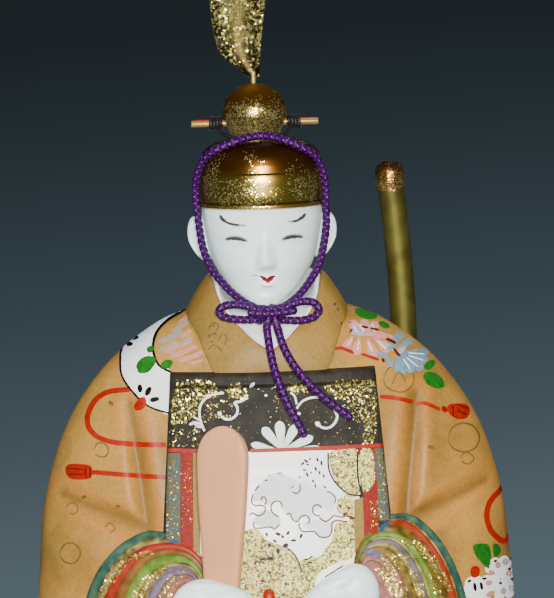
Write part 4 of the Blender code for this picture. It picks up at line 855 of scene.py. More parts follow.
def makePlume(s):
    rows = splineRows(s["edges"], s["rows"])
    part = np.linspace(0, 1, s["columns"])
    points = []
    for height, left, right in rows:
        x = s["x"] + s["width"] * (left + part * (right - left))
        curl = s["curl"] * (2 * part - 1) ** 2 * min(right - left, 1.0)
        y = s["y"] + s["lean"] * height * height + curl
        points.append(np.stack([x, y, np.full(len(part), s["bottom"] + height * s["height"])], axis=1))
    points = np.array(points)
    sheet = shapedGrid("plumeSheet", points, 60)
    applyModifier(sheet, "SOLIDIFY", thickness=s["thickness"] * mm, offset=0.0)
    net = shapedGrid("plumeNet", points, 60)
    applyModifier(net, "WIREFRAME", thickness=s["netWire"] * mm, use_replace=True, use_even_offset=False)
    wire = [(s["x"], s["y"], z) for z in np.linspace(s["stemSeat"], s["stemTop"], 14)]
    return sheet, net, tubeAlong("plumeStemWire", wire, s["stemRadius"], 20)


plumeSheet, plumeNet, plumeStem = makePlume(plumeSettings)
plumeSpan = (plumeSettings["bottom"], plumeSettings["bottom"] + plumeSettings["height"])
gauzeGround = makeGilt("giltGauzeGround", "0 #241A08 1 #4E3E18", "#E6DE8C", "0 #737373 0.4 #BFBFBF 1 #E6E6E6",
                       plumeSpan, 0.38, 1500.0, 2.0)
gauzeThread = makeGilt("giltGauzeThread", "0 #3A2A0C 0.4 #6A5424 1 #8A7844", "#F6F2A4",
                       "0 #8C8C8C 0.35 #F2F2F2 1 #132132", plumeSpan, 0.36, 1400.0, 2.0)
finishPiece(plumeSheet, gauzeGround, "plume", "gilt_gauze", "plume_gauze")
finishPiece(plumeNet, gauzeThread, "plume", "gilt_gauze")
finishPiece(plumeStem, pinMetal, "plume", "gilt_pin_metal", "plume_stem")
print("cap, case, hairpin and plume made")


# Chest panel, sleeve mouths, hands, lap, sash knot

panelSettings = {
    "topHalf": 32.2, "bottomHalf": 37.6, "bottom": 38.0, "top": 111.5, "proud": 2.6, "lip": 1.8,
    "lipHeight": 4.4, "root": 4.0, "rows": 110, "columns": 64, "corner": 0.5,
}


def makePanel(s):
    rings = []
    heights = np.linspace(s["bottom"], s["top"], s["rows"])
    for z in heights:
        up = (z - s["bottom"]) / (s["top"] - s["bottom"])
        half = s["bottomHalf"] + up * (s["topHalf"] - s["bottomHalf"])
        edge = s["top"] - z
        # the lip's lower side is a step, and its top edge is rounded
        lip = s["lip"] * smoothStep(s["lipHeight"], s["lipHeight"] - 0.9, edge)
        proud = s["proud"] + lip - 0.7 * smoothStep(0.7, 0.0, edge)
        x = np.linspace(-half, half, s["columns"])
        plain = robeFront(robeSettings, x, np.full(len(x), z), False)
        side = smoothStep(0, 0.8, half - np.abs(x))
        front = np.stack([x, plain - proud * (0.72 + 0.28 * side), np.full(len(x), z)], axis=1)
        back = np.stack([x, plain + s["root"], np.full(len(x), z)], axis=1)[::-1]
        rings.append(np.concatenate([front, back]))
    return bridgeRings("chestPanelBoard", rings, 35)


# old black lacquer gone grey and dull, with a little gold dust left in it
blackLacquer = makeMaterial("dulledBlackLacquer", {
    "Roughness": 0.6, "Specular IOR Level": 0.15, "Base Color": "colour 2", "Normal": "bump"}, {
    "tone": ("TexNoise", {"Scale": 190, "Detail": 5}),
    "black": ("ValToRGB", {"Fac": "tone", "stops": "0.35 #1E1C18 0.70 #302D26"}),
    "dust": ("TexVoronoi", {"Scale": 1500}),
    "bright": ("RGBToBW", {0: "dust Color"}),
    "spots": ("ValToRGB", {"Fac": "bright", "stops": "0.84 #000000 0.90 #909090"}),
    "colour": ("Mix", {0: "spots", 6: "black", 7: "#6E6030"}),
    "bump": ("Bump", {"Height": "dust", "Distance": 0.0001, "Strength": 0.4})})
panelPiece = makePanel(panelSettings)
panelTree = treeOf(panelPiece)
finishPiece(panelPiece, blackLacquer, "doll", "painted_panel_clay", "chest_panel")

sleeveSettings = {
    "base": 1.0, "rise": 4.2, "pocket": 4.2, "root": 6.0, "segments": 150,
    "pointsPerBand": 6, "roundness": 2.4,
    # outer and inner rim of each mouth: middle across and up, half sizes and slant
    "rims": {-1: ((42.2, 34.0, 20.6, 29.0, 0.20), (30.6, 38.0, 4.6, 11.6, 0.14)),
             1: ((42.0, 34.0, 17.8, 32.0, 0.20), (30.6, 40.0, 5.0, 14.0, 0.14))},
    # each layer of cloth: where it starts towards the hand, and its colours
    "bands": {
        -1: ((0.00, "#3E5A44", "#20463E"), (0.125, "#9A8646", "#54401A"), (0.22, "#962414", "#80200C"),
             (0.34, "#7E5222", "#5E4216"), (0.455, "#66822E", "#4C6A1E"), (0.60, "#8E7C3C", "#54461A"),
             (0.665, "#6A5632", "#4A3C1E"), (0.72, "#74667A", "#5A4E5E"), (0.82, "#7C564C", "#5E4632"),
             (0.91, "#96605A", "#804C46")),
        1: ((0.00, "#3E5A44", "#20463E"), (0.11, "#8E7A3A", "#54401A"), (0.145, "#923018", "#7E2A12"),
            (0.25, "#6E5820", "#4A3A10"), (0.40, "#66822E", "#4C6A1E"), (0.49, "#86803C", "#52541E"),
            (0.545, "#665C60", "#4C4448"), (0.62, "#8E8252", "#5E5024"), (0.69, "#7C6828", "#4E3E14"),
            (0.83, "#96605A", "#804C46"))},
}


def mouthRing(s, side, proud, layer, size=1.0):
    middleX, middleZ, half, tall, slant = [one + layer * (other - one) for one, other in zip(*s["rims"][side])]
    across, up = roundedTurn(s["segments"], s["roundness"])
    up = up * tall * size
    x = side * (middleX + half * size * across - slant * up)
    z = middleZ + up
    return np.stack([x, robeFront(robeSettings, x, z) - proud, z], axis=1)


def makeSleeve(name, side, s):
    starts = [band[0] for band in s["bands"][side]] + [1.0]
    rings = [mouthRing(s, side, -s["root"], 0.0, 0.6), mouthRing(s, side, -s["root"], 0.0)]
    marks = []
    for index, (start, end) in enumerate(zip(starts, starts[1:])):
        proud = s["base"] + s["rise"] * start
        marks.append(len(rings))
        for step in range(s["pointsPerBand"]):
            part = step / (s["pointsPerBand"] - 1)
            # a thin rolled edge on the outside of every layer, then a slight hollow up to the next
            roll = 0.55 * math.sqrt(max(1 - (1 - min(part * 4, 1)) ** 2, 0)) - 0.25 * part
            rings.append(mouthRing(s, side, proud + roll, start + (end - start) * (0.02 + 0.96 * part)))
    marks.append(len(rings))
    floor = s["base"] + s["rise"] - s["pocket"]
    rings += [mouthRing(s, side, floor, 1.0), mouthRing(s, side, floor, 1.0, 0.5)]
    piece = bridgeRings(name, rings, 60)
    return piece, [mark / (len(rings) - 1) for mark in marks]


def makeLayeredCloth(name, bands, s, marks):
    # painted clay layers, each its own colour by its place on the sleeve's rim, streaked by the brush
    gap = 0.5 / (2 + len(bands) * s["pointsPerBand"] + 1)
    starts = [0.0] + [max(mark - gap, 0.0) for mark in marks[1:len(bands)]]
    light, deep = (" ".join(f"{start} {band[k]}" for start, band in zip(starts, bands)) for k in (1, 2))
    return makeMaterial(name, {
        "Roughness": 0.5, "Specular IOR Level": 0.25, "Base Color": "colour 2", "Normal": "bump"}, {
        "across": ("SeparateXYZ", {0: "place UV"}),
        "light": ("ValToRGB", {"Fac": "across 1", "stops": light, "interpolation": "CONSTANT"}),
        "deep": ("ValToRGB", {"Fac": "across 1", "stops": deep, "interpolation": "CONSTANT"}),
        "tone": ("TexNoise", {"Scale": 330, "Detail": 4}),
        "shade": ("ValToRGB", {"Fac": "tone", "stops": "0.40 #000000 0.60 #FFFFFF"}),
        "colour": ("Mix", {0: "shade", 6: "deep", 7: "light"}),
        "bump": ("Bump", {"Height": "tone", "Distance": 0.0002, "Strength": 0.4})})


sleeveTrees = []
for side, label in ((-1, "Right"), (1, "Left")):
    sleevePiece, sleeveMarks = makeSleeve("sleeveLayers" + label, side, sleeveSettings)
    sleeveTrees.append(treeOf(sleevePiece))
    layeredCloth = makeLayeredCloth("paintedClothLayers", sleeveSettings["bands"][side], sleeveSettings, sleeveMarks)
    finishPiece(sleevePiece, layeredCloth, "doll", "layered_sleeve_clay", "sleeve_lining_" + label.lower())

handSettings = {
    "x": 20.0, "offsetX": -0.5, "y": -52.9, "z": 41.5, "lean": 18.0,
    # each lump of clay: middle, half sizes and turn about Y, in mm and degrees, for the doll's left hand
    "lumps": (
        ((1.8, 0.6, -0.4), (9.0, 6.0, 9.4), 0), ((6.2, 1.4, -3.0), (5.4, 5.0, 7.4), 0),
        ((-4.6, -4.2, 4.2), (7.2, 2.7, 2.6), -14), ((-5.2, -4.9, 0.6), (7.4, 2.6, 2.5), -6),
        ((-5.2, -4.8, -2.9), (7.2, 2.6, 2.4), 3), ((-4.4, -4.2, -6.3), (6.6, 2.4, 2.3), 8)),
    # the back of each hand and its upper edge, each shaped to its own outline
    "backs": {-1: (((3.0, -0.8, 3.4), (9.6, 5.2, 8.4), -6), ((-4.0, -2.2, 5.4), (10.4, 3.4, 3.2), -33)),
              1: (((1.4, -0.8, 5.0), (7.6, 5.2, 9.6), -14), ((-6.4, -2.8, 5.6), (10.4, 3.4, 3.2), -50))},
    "voxel": 0.42, "smoothing": 14,
}


def makeHand(name, side, s):
    turn = Matrix.Rotation(side * math.radians(s["lean"]), 4, "Y")
    middle = Vector((side * s["x"] + s["offsetX"], s["y"], s["z"]))
    lumps = []
    for place, half, tilt in s["lumps"] + s["backs"][side]:
        deselectAll()
        bpy.ops.mesh.primitive_uv_sphere_add(segments=32, ring_count=20, radius=1.0)
        lump = bpy.context.active_object
        local = Matrix.Rotation(side * math.radians(tilt), 4, "Y")
        for vertex in lump.data.vertices:
            spot = Vector(vertex.co[k] * half[k] for k in range(3))
            spot = local @ spot + Vector((side * place[0], place[1], place[2]))
            vertex.co = (middle + turn @ spot) * mm
        lumps.append(lump)
    hand = joinPieces(name, lumps)
    applyModifier(hand, "REMESH", mode="VOXEL", voxel_size=s["voxel"] * mm)
    applyModifier(hand, "SMOOTH", factor=0.5, iterations=s["smoothing"])
    smoothShade(hand, 80)
    return hand


handTrees = []
for side, label in ((-1, "Right"), (1, "Left")):
    handPiece = makeHand("hand" + label, side, handSettings)
    handTrees.append(treeOf(handPiece))
    finishPiece(handPiece, gofunPaint, "doll", "white_gofun_clay", "hand_" + label.lower())

lapSettings = {
    "halfWidth": 45.0, "front": 60.4, "root": -32.0, "height": 32.0, "dip": 4.5, "dipSpread": 9.0,
    "segments": 200, "levels": 60, "power": 2.6, "foldDepth": 0.5, "foldCount": 26,
    "rows": ((0.0, 0.97, 0.985), (0.10, 1.0, 1.0), (0.38, 0.90, 0.985), (0.62, 0.74, 0.945),
             (0.84, 0.58, 0.87), (1.0, 0.36, 0.78)),
}


def makeLap(s):
    rings = []
    for height, width, front in splineRows(s["rows"], s["levels"]):
        ring = ovalRing((0, s["root"], height * s["height"]), width * s["halfWidth"],
                        front * s["front"] + s["root"], 3.0, s["segments"], s["power"])
        isFront = ring[:, 1] < s["root"]
        dip = s["dip"] * np.exp(-(ring[:, 0] / s["dipSpread"]) ** 2)
        fold = s["foldDepth"] * np.cos(ring[:, 0] / s["halfWidth"] * s["foldCount"]) * (1 - height * 0.6)
        ring[:, 1] += np.where(isFront, dip + fold, 0)
        rings.append(ring)
    return bridgeRings("whiteLap", rings, 60)


# white brocade painted on clay: cool white with pale woven rounds and a little gold
lapPaint = makeMaterial("whiteBrocadePaint", {
    "Roughness": 0.5, "Coat Weight": 0.15, "Coat Roughness": 0.3, "Base Color": "colour 2", "Normal": "bump"}, {
    **ghostFlowers(0.016),
    "tone": ("TexNoise", {"Scale": 150, "Detail": 4}),
    "white": ("ValToRGB", {"Fac": "tone", "stops": "0.35 #CFCDC5 0.65 #E2E0DA"}),
    "colour": ("Mix", {0: "flowers", 6: "white", 7: "#BFA96A"}),
    "bump": ("Bump", {"Height": "flowers", "Distance": 0.0002, "Strength": 0.5})})
finishPiece(makeLap(lapSettings), lapPaint, "doll", "white_lap_clay", "hakama")

sashSettings = {
    "middle": (-3.6, -46.5, 39.0), "half": (2.5, 3.75, 7.5), "power": 2.8, "segments": 64, "levels": 60,
    "wrapDepth": 0.35, "wraps": 3,
}


def makeSashKnot(s):
    rings = []
    for level in np.linspace(-0.5, 0.5, s["levels"])[1:-1]:
        size = math.cos(level * math.pi) ** (2 / s["power"])
        height = math.copysign(abs(math.sin(level * math.pi)) ** (2 / s["power"]), level)
        pinch = 1 - s["wrapDepth"] * 0.3 * (0.5 + 0.5 * math.cos(height * s["wraps"] * math.pi))
        rings.append(ovalRing((s["middle"][0], s["middle"][1], s["middle"][2] + height * s["half"][2]),
                              s["half"][0] * size * pinch, s["half"][1] * size * pinch,
                              s["half"][1] * size * pinch, s["segments"], s["power"]))
    return bridgeRings("redSashKnot", rings, 60)


finishPiece(makeSashKnot(sashSettings), redPaint, "doll", "red_sash_clay", "sash_knot")
print("panel, sleeves, hands, lap and sash made")


# Baton and sword

batonSettings = {
    "width": 16.2, "thickness": 4.2, "bottom": 36.0, "top": 97.9, "x": -18.4, "y": -50.6,
    "turn": -20.0, "lean": 2.0, "recline": -6.0, "levels": 110, "profilePoints": 40, "profilePower": 5.0,
    "rows": ((0.00, 0.64), (0.20, 0.69), (0.39, 0.79), (0.57, 0.91), (0.72, 0.97), (0.84, 1.00)),
}


def makeBaton(s):
    height = s["top"] - s["bottom"]
    shoulder = s["rows"][-1][0]
    turn = (Matrix.Rotation(math.radians(s["lean"]), 3, "Y") @ Matrix.Rotation(math.radians(s["recline"]), 3, "X")
            @ Matrix.Rotation(math.radians(s["turn"]), 3, "Z"))
    turn = np.array(turn)
    lower = np.linspace(0, shoulder, s["levels"] // 2)
    upper = shoulder + (1 - shoulder) * np.sin(np.linspace(0, np.pi / 2, s["levels"] // 2))[1:]
    rings = []
    for up in np.concatenate([lower, upper]):
        if up <= shoulder:
            width = rowAtHeight(s["rows"], up)[1]
        else:
            width = math.sqrt(max(1 - ((up - shoulder) / (1 - shoulder)) ** 2, 0.0004))
        # the edges are rounded all round, and the ends thin out a little
        depth = s["thickness"] / 2 * min(1.0, 0.45 + 9 * (1 - up)) * min(1.0, 0.6 + 20 * up)
        ring = ovalRing((0, 0, up * height), width * s["width"] / 2, depth, depth, s["profilePoints"],
                        s["profilePower"] if up < 0.97 else 3.0)
        rings.append(ring @ turn.T + (s["x"], s["y"], s["bottom"]))
    return bridgeRings("batonBoard", rings, 45)


# planed and painted pale wood: pinkish tan with a faint grain along it
paleWood = makeMottled("planedPaleWood", {"Roughness": 0.5, "Specular IOR Level": 0.25},
                       {"Detail": 4, "Distortion": 0.6}, "0.30 #C88C62 0.70 #CC9268", (0.00004, 0.3), (520, 520, 26))
finishPiece(makeBaton(batonSettings), paleWood, "baton", "baton_wood", "shaku")

swordSettings = {
    "x": 46.4, "y": 26.5, "seat": 55.0, "straightTop": 112.0, "top": 165.4, "topOffset": -3.7, "power": 1.8,
    "radius": 4.4, "sides": 64, "capRadius": 4.95, "capLength": 7.6, "capGap": 0.1,
    "capRows": ((-0.30, 0.90), (-0.30, 0.95), (0.0, 0.97), (0.06, 1.0), (0.16, 1.0), (0.20, 0.94), (0.26, 0.94),
                (0.30, 0.99), (0.55, 1.0), (0.78, 0.88), (0.93, 0.60), (1.0, 0.25), (1.005, 0.02)),
}


def makeSword(s):
    heights = np.linspace(s["seat"], s["top"] + s["capGap"], 90)
    part = np.maximum(heights - s["straightTop"], 0) / (s["top"] - s["straightTop"])
    xs = s["x"] + s["topOffset"] * part ** s["power"]
    rings = [roundRing((x, s["y"], z), s["radius"], s["sides"]) for x, z in zip(xs, heights)]
    scabbard = bridgeRings("scabbardTube", rings, 50)
    cap = sizedRings(s["capRows"], (xs[-1], s["y"], s["top"]), s["capLength"], [s["capRadius"]] * 3, s["sides"])
    return scabbard, bridgeRings("scabbardCap", cap, 35)


# thin gold rubbed over dark lacquer: satin, nearly even, cloudy only from near by
satinGilt = makeMottled("oliveSatinGilt", {"Metallic": 0.8, "Roughness": 0.60}, {"Scale": 140, "Detail": 5},
                        "0.35 #504C20 0.65 #67632C", (0.00005, 0.4), grain=1500)
bronzeGilt = makeGilt("bronzeGiltCap", "0 #8E6E3C 1 #6A3A20", "#D0B060", "0 #999999 1 #666666",
                      (swordSettings["top"] - 3, swordSettings["top"] + 8), 0.32, 3000.0, 0.34)
scabbardPiece, chapePiece = makeSword(swordSettings)
finishPiece(scabbardPiece, satinGilt, "sword", "olive_gilt", "sword_scabbard")
finishPiece(chapePiece, bronzeGilt, "sword", "bronze_gilt", "sword_chape")
print("baton and sword made")


# Silk cords: the chin loop, the bow and its two tails

cordSettings = {
    "radius": 1.3, "braid": 0.20, "pitch": 2.2, "strands": 3, "sides": 28, "spacing": 0.2, "roundEnd": 1.0,
    "chin": (
        (-4.6, -22.6, 130.9), (-9.2, -19.4, 133.2), (-13.9, -15.6, 137.2), (-18.1, -12.0, 142.6),
        (-20.6, -9.4, 149.0), (-21.6, -7.8, 155.4), (-22.3, -6.8, 162.3), (-22.4, -6.5, 164.9),
        (-22.4, -6.6, 168.0), (-21.9, -8.2, 171.6), (-20.8, -9.5, 175.0), (-18.7, -12.0, 178.3),
        (-15.1, -14.2, 180.7), (-10.1, -14.8, 182.7), (-5.7, -12.9, 183.9), (-1.4, -11.2, 184.3),
        (2.8, -13.2, 183.9), (6.9, -15.7, 182.6), (11.6, -15.5, 180.4), (15.4, -13.5, 177.8),
        (17.5, -11.4, 174.4), (18.5, -10.2, 170.6), (18.9, -9.3, 167.0), (19.0, -9.2, 163.9),
        (18.9, -8.8, 161.3), (18.9, -9.0, 155.4), (17.8, -10.0, 148.8), (15.8, -12.2, 142.4),
        (12.1, -15.6, 137.0), (7.8, -19.4, 133.0), (3.6, -22.6, 130.8)),
    "bowRight": (
        (-2.2, -26.4, 130.0), (-3.6, -26.4, 130.6), (-6.5, -26.5, 131.7), (-10.9, -26.4, 132.6),
        (-14.8, -26.0, 132.2), (-16.2, -25.8, 130.5), (-15.1, -25.8, 128.9), (-11.1, -26.2, 128.0),
        (-6.7, -26.2, 127.7), (-3.6, -26.0, 127.6), (-2.2, -26.0, 127.8)),
    "bowLeft": (
        (2.2, -26.4, 130.0), (3.6, -26.4, 130.6), (5.9, -26.5, 132.1), (9.9, -26.4, 133.0),
        (13.4, -26.0, 132.5), (15.0, -25.8, 130.2), (13.5, -25.8, 128.0), (10.0, -26.2, 127.1),
        (6.5, -26.2, 127.1), (3.6, -26.0, 127.4), (2.2, -26.0, 127.8)),
    "tailRight": (
        (-1.5, -26.6, 125.6), (-1.0, -29.8, 120.1), (0.0, -33.4, 114.3), (1.6, -36.6, 108.8),
        (3.6, -37.0, 103.6), (6.6, -37.1, 97.4), (9.3, -37.4, 91.9)),
    "tailLeft": (
        (1.9, -26.6, 125.5), (3.2, -29.8, 120.1), (6.1, -33.4, 114.5), (10.4, -36.6, 109.1),
        (14.8, -36.6, 104.6), (19.2, -36.2, 100.8), (23.9, -35.7, 97.1)),
    "knotMiddle": (0.0, -24.4, 129.0), "knotHalf": (3.2, 3.5, 2.9),
    # the strand between the loops, and the two that run down into the tails
    "knotStrands": (
        (((-7.4, -26.2, 130.2), (-4.4, -26.8, 129.8), (0.0, -27.4, 129.6), (4.6, -26.8, 130.0),
          (8.2, -26.2, 130.4)), 1.35),
        (((-6.6, -26.0, 131.4), (-3.0, -26.0, 131.0), (0.0, -26.4, 130.8), (3.4, -26.0, 131.2),
          (7.0, -26.0, 131.8)), 1.3),
        (((-0.8, -26.4, 128.6), (-1.2, -27.4, 127.0), (-1.5, -27.2, 125.4), (-1.3, -28.6, 122.6)), 1.3),
        (((1.0, -26.4, 128.6), (1.3, -27.4, 127.0), (1.7, -27.4, 125.4), (2.4, -28.6, 122.6)), 1.3)),
    # its three wraps: shift, tilt and radius, and how far in from the knot's half sizes they and its core lie
    "knotWraps": ((-2.9, 0.9, 1.25), (0.0, 0.5, 1.5), (2.9, -0.9, 1.25)), "wrapInset": (1.2, 0.9),
    "coreShare": 0.7, "coreAcross": 0.8,
}


def braidedCord(name, points, s, roundEnds=True):
    # strands cross over and under: two sets of ridges run opposite ways round the cord
    path, length = evenPath(points, s["spacing"])
    angle = np.arange(s["sides"]) * tau / s["sides"]
    rings, glints = [], []
    for along, (spot, across, other) in zip(np.linspace(0, length, len(path)), carriedFrames(path, (0, 1, 0))):
        phase = tau * along / s["pitch"]
        one, two = np.sin(s["strands"] * angle + phase), np.sin(s["strands"] * angle - phase)
        height = np.maximum(one, two)
        radius = s["radius"] - s["braid"] + s["braid"] * np.clip(height, -0.2, 1)
        end = min(along, length - along) / s["roundEnd"]
        if roundEnds and end < 1:
            radius = radius * math.sqrt(max(1 - (1 - end) ** 2, 0.02))
        rings.append(spot + radius[:, None] * (np.cos(angle)[:, None] * across + np.sin(angle)[:, None] * other))
        glints.append(smoothStep(0.70, 1.0, one * two) * (height > 0))
    piece = bridgeRings(name, rings, 80)
    # the doubles are merged, so the painted glints at the crossings are looked up again by place
    spots = np.asarray(rings).reshape(-1, 3)
    lookup = {tuple(np.round(spot, 3)): value for spot, value in zip(spots, np.asarray(glints).ravel())}
    storeValues(piece, "glint", [lookup.get(tuple(np.round(spot, 3)), 0.0) for spot in pointPlaces(piece)])
    return piece, path, length


# braided silk: dark violet strands, with a painted glint where two of them cross over the top
braidedSilk = makeMaterial("braidedPurpleSilk", {
    "Roughness": 0.45, "Specular IOR Level": 0.2, "Base Color": "colour 2", "Normal": "bump"}, {
    "fibre": ("TexNoise", {"Scale": 2200, "Detail": 2}),
    "dark": ("ValToRGB", {"Fac": "fibre", "stops": "0.35 #1C0028 0.65 #3A0250"}),
    "crossing": ("Attribute", {"attribute_name": "glint"}),
    "colour": ("Mix", {0: "crossing Fac", 6: "dark", 7: "#B448D0"}),
    "bump": ("Bump", {"Height": "fibre", "Distance": 0.00008, "Strength": 0.5})})
cordLengths = {}
for cordName, route, node in (("chinCord", "chin", "cord_chin_loop"), ("bowLoopRight", "bowRight", "cord_bow_right"),
                              ("bowLoopLeft", "bowLeft", "cord_bow_left"),
                              ("bowTailRight", "tailRight", "cord_tail_right"),
                              ("bowTailLeft", "tailLeft", "cord_tail_left")):
    isTail = route.startswith("tail")
    cordPiece, cordPath, cordLengths[cordName] = braidedCord(cordName, cordSettings[route], cordSettings, isTail)
    finishPiece(cordPiece, braidedSilk, "doll", "purple_silk_cord", node)
    if isTail:
        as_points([tuple(spot * mm) for spot in cordPath[::8]] + [tuple(cordPath[-1] * mm)])


def makeKnot(s):
    # the bow's middle: the cord wrapped three times across the two loops
    x, y, z = s["knotMiddle"]
    halfX, halfY, halfZ = s["knotHalf"]
    insetY, insetZ = s["wrapInset"]
    angle = np.linspace(0, tau, 65)
    ways = [(np.stack([x + shift + tilt * np.sin(angle), y + (halfY - insetY) * np.cos(angle),
                       z + (halfZ - insetZ) * np.sin(angle)], axis=1)[::4], radius, False)
            for shift, tilt, radius in s["knotWraps"]]
    ways += [(way, radius, True) for way, radius in s["knotStrands"]]
    parts = [braidedCord("knotPart", way, dict(s, radius=radius), ends)[0] for way, radius, ends in ways]
    share = s["coreShare"]
    core = [ovalRing((x, y, z + halfZ * share * math.sin(a)), halfX * s["coreAcross"] * math.cos(a),
                     halfY * share * math.cos(a), halfY * share * math.cos(a), 32) for a in np.linspace(-1.5, 1.5, 24)]
    return joinPieces("bowKnot", [*parts, bridgeRings("knotCore", core, 60)])


finishPiece(makeKnot(cordSettings), braidedSilk, "doll", "purple_silk_cord", "cord_knot")
print("cords made, lengths in mm:", {name: round(length, 1) for name, length in cordLengths.items()})


# Painted patterns: thin closed skins of paint, drawn in the photograph's pixels and laid on the clay

# each pot's light and deep colour
robePaints = {
    "white": "#F0F3F1 #E4E8E6", "petalPink": "#CC8A80 #BC766E", "petalBlue": "#6E8C9A #5C7A88",
    "streakPink": "#C48674 #BA7A64", "streakBlue": "#92948A #88887A", "lilac": "#AC9EAA #9A8A9A",
    "paleBlue": "#E2EFEC #D8E6E4", "leafGreen": "#1E6C1A #165612", "red": "#A41C04 #8C1602",
    "black": "#0C0A08 #060504", "darkRed": "#60140C #480E08", "blueGrey": "#3C5054 #625020",
    "cornerBlue": "#16486E #103C5E", "lipRed": "#92182C #7A1024", "softGrey": "#A4ACAE #989FA2",
    "greyLine": "#3C4448 #2C3438", "ghostOlive": "#6E5A24 #62501C", "panelRed": "#8A1400 #721000",
    "faceShade": "#CEE4E1 #C8DEDB", "tanStrip": "#8E7434 #806628", "pearl": "#FFFFFF #FAFAFA",
    "scrollWhite": "#F4F4F2 #E2E2E0", "greyPurple": "#6A6070 #5A5060",
}
paintSettings = {
    # how deep a skin goes, how far apart in depth a face's corners may lie, and the same on the turned-away side
    "skinDepth": 0.06, "jump": 4.5, "wrapJump": 16.0, "cell": 2.4, "dotCell": 3.0,
    # a flake's tip, size, lift and root, and its corners' angles and lengths
    "flakeTip": 0.22, "flakeSizes": (0.5, 1.25), "flakeLift": 0.12, "flakeRoot": 0.15,
    "flakeCorners": ((0.0, 1.0), (1.7, 0.7), (3.3, 0.95), (4.6, 0.75)),
}
paintPots = {}


def castOn(targets, px, py, origin=None, direction=None):
    ray = direction or pixelRay(px, py)
    start = origin or viewPlace
    best = None
    for tree in targets:
        spot, normal, _, distance = tree.ray_cast(start, ray)
        if spot is not None and (best is None or distance < best[2]):
            best = (spot, normal if normal.dot(ray) < 0 else -normal, distance)
    return best


def castWrap(targets, px, py):
    # past the silhouette the paint goes on round the back, further for places further out
    hit = castOn(targets, px, py)
    if hit is not None:
        return hit
    ray = pixelRay(px, py)
    middle = viewPlace + ray * ((Vector((0, 0, viewPlace.z)) - viewPlace).dot(ray))
    for reach in (0.0, 4.0):
        spot, normal, _, gap = targets[0].find_nearest(middle)
        for _ in range(6):
            spot, normal, _, gap = targets[0].find_nearest(viewPlace + ray * (spot - viewPlace).dot(ray))
        if reach:
            spot, normal, _, _ = targets[0].find_nearest(spot + ray * gap * reach)
    return spot, normal, (spot - viewPlace).length


def castBack(targets, x, z):
    # from behind, in the doll's own millimetres
    return castOn(targets, 0, 0, Vector((x * mm, 0.3, z * mm)), Vector((0, -1, 0)))


def laySkin(pot, flat, faces, targets, height, cast=castOn):
    # each flat point goes to the surface; faces that miss it, or jump between surfaces, are left out
    hits = [cast(targets, x, y) for x, y in flat]
    store = paintPots.setdefault(pot, {"verts": [], "faces": []})
    kept = []
    for face in faces:
        found = [hits[i] for i in face]
        if any(hit is None for hit in found):
            continue
        depths = [hit[2] for hit in found]
        if max(depths) - min(depths) > paintSettings["wrapJump" if cast is castWrap else "jump"] * mm:
            continue
        a, b, c = (hit[0] for hit in found[:3])
        outward = (b - a).cross(c - a).dot(found[0][1]) > 0
        kept.append(tuple(face) if outward else tuple(reversed(face)))
    if not kept:
        return
    used = sorted({i for face in kept for i in face})
    base = len(store["verts"])
    count = len(used)
    index = {old: new for new, old in enumerate(used)}
    for lift in (height, -paintSettings["skinDepth"]):
        store["verts"] += [tuple(hits[i][0] + hits[i][1] * lift * mm) for i in used]
    edges = {}
    for face in kept:
        ring = [base + index[i] for i in face]
        store["faces"].append(tuple(ring))
        store["faces"].append(tuple(i + count for i in reversed(ring)))
        for one, two in zip(ring, ring[1:] + ring[:1]):
            edges[(one, two)] = edges.get((one, two), 0) + 1
    for one, two in edges:
        if (two, one) not in edges:
            store["faces"].append((two, one, one + count, two + count))


def smoothLoop(points, perSide=5):
    points = np.asarray(points, float)
    before, after, beyond = np.roll(points, 1, 0), np.roll(points, -1, 0), np.roll(points, -2, 0)
    made = []
    for t in np.arange(perSide) / perSide:
        bend = 2 * before - 5 * points + 4 * after - beyond
        twist = 3 * points - before - 3 * after + beyond
        made.append(0.5 * (2 * points + (after - before) * t + bend * t * t + twist * t ** 3))
    return np.stack(made, axis=1).reshape(-1, 2)


def fillShape(pot, outline, targets, height, smooth=True, cast=castOn, cellName="cell"):
    outline = smoothLoop(outline) if smooth else np.asarray(outline, float)
    cell = paintSettings[cellName]
    mesh = bmesh.new()
    mesh.faces.new([mesh.verts.new((x, y, 0)) for x, y in outline])
    for axis in (0, 1):
        low, high = outline[:, axis].min(), outline[:, axis].max()
        for value in np.arange(low + cell * 0.53, high, cell):
            place, way = [0, 0, 0], [0, 0, 0]
            place[axis], way[axis] = value, 1
            bmesh.ops.bisect_plane(mesh, geom=mesh.verts[:] + mesh.edges[:] + mesh.faces[:],
                                   plane_co=place, plane_no=way)
    bmesh.ops.triangulate(mesh, faces=mesh.faces)
    mesh.verts.index_update()
    flat = [(v.co.x, v.co.y) for v in mesh.verts]
    faces = [[v.index for v in face.verts] for face in mesh.faces]
    mesh.free()
    laySkin(pot, flat, faces, targets, height, cast)


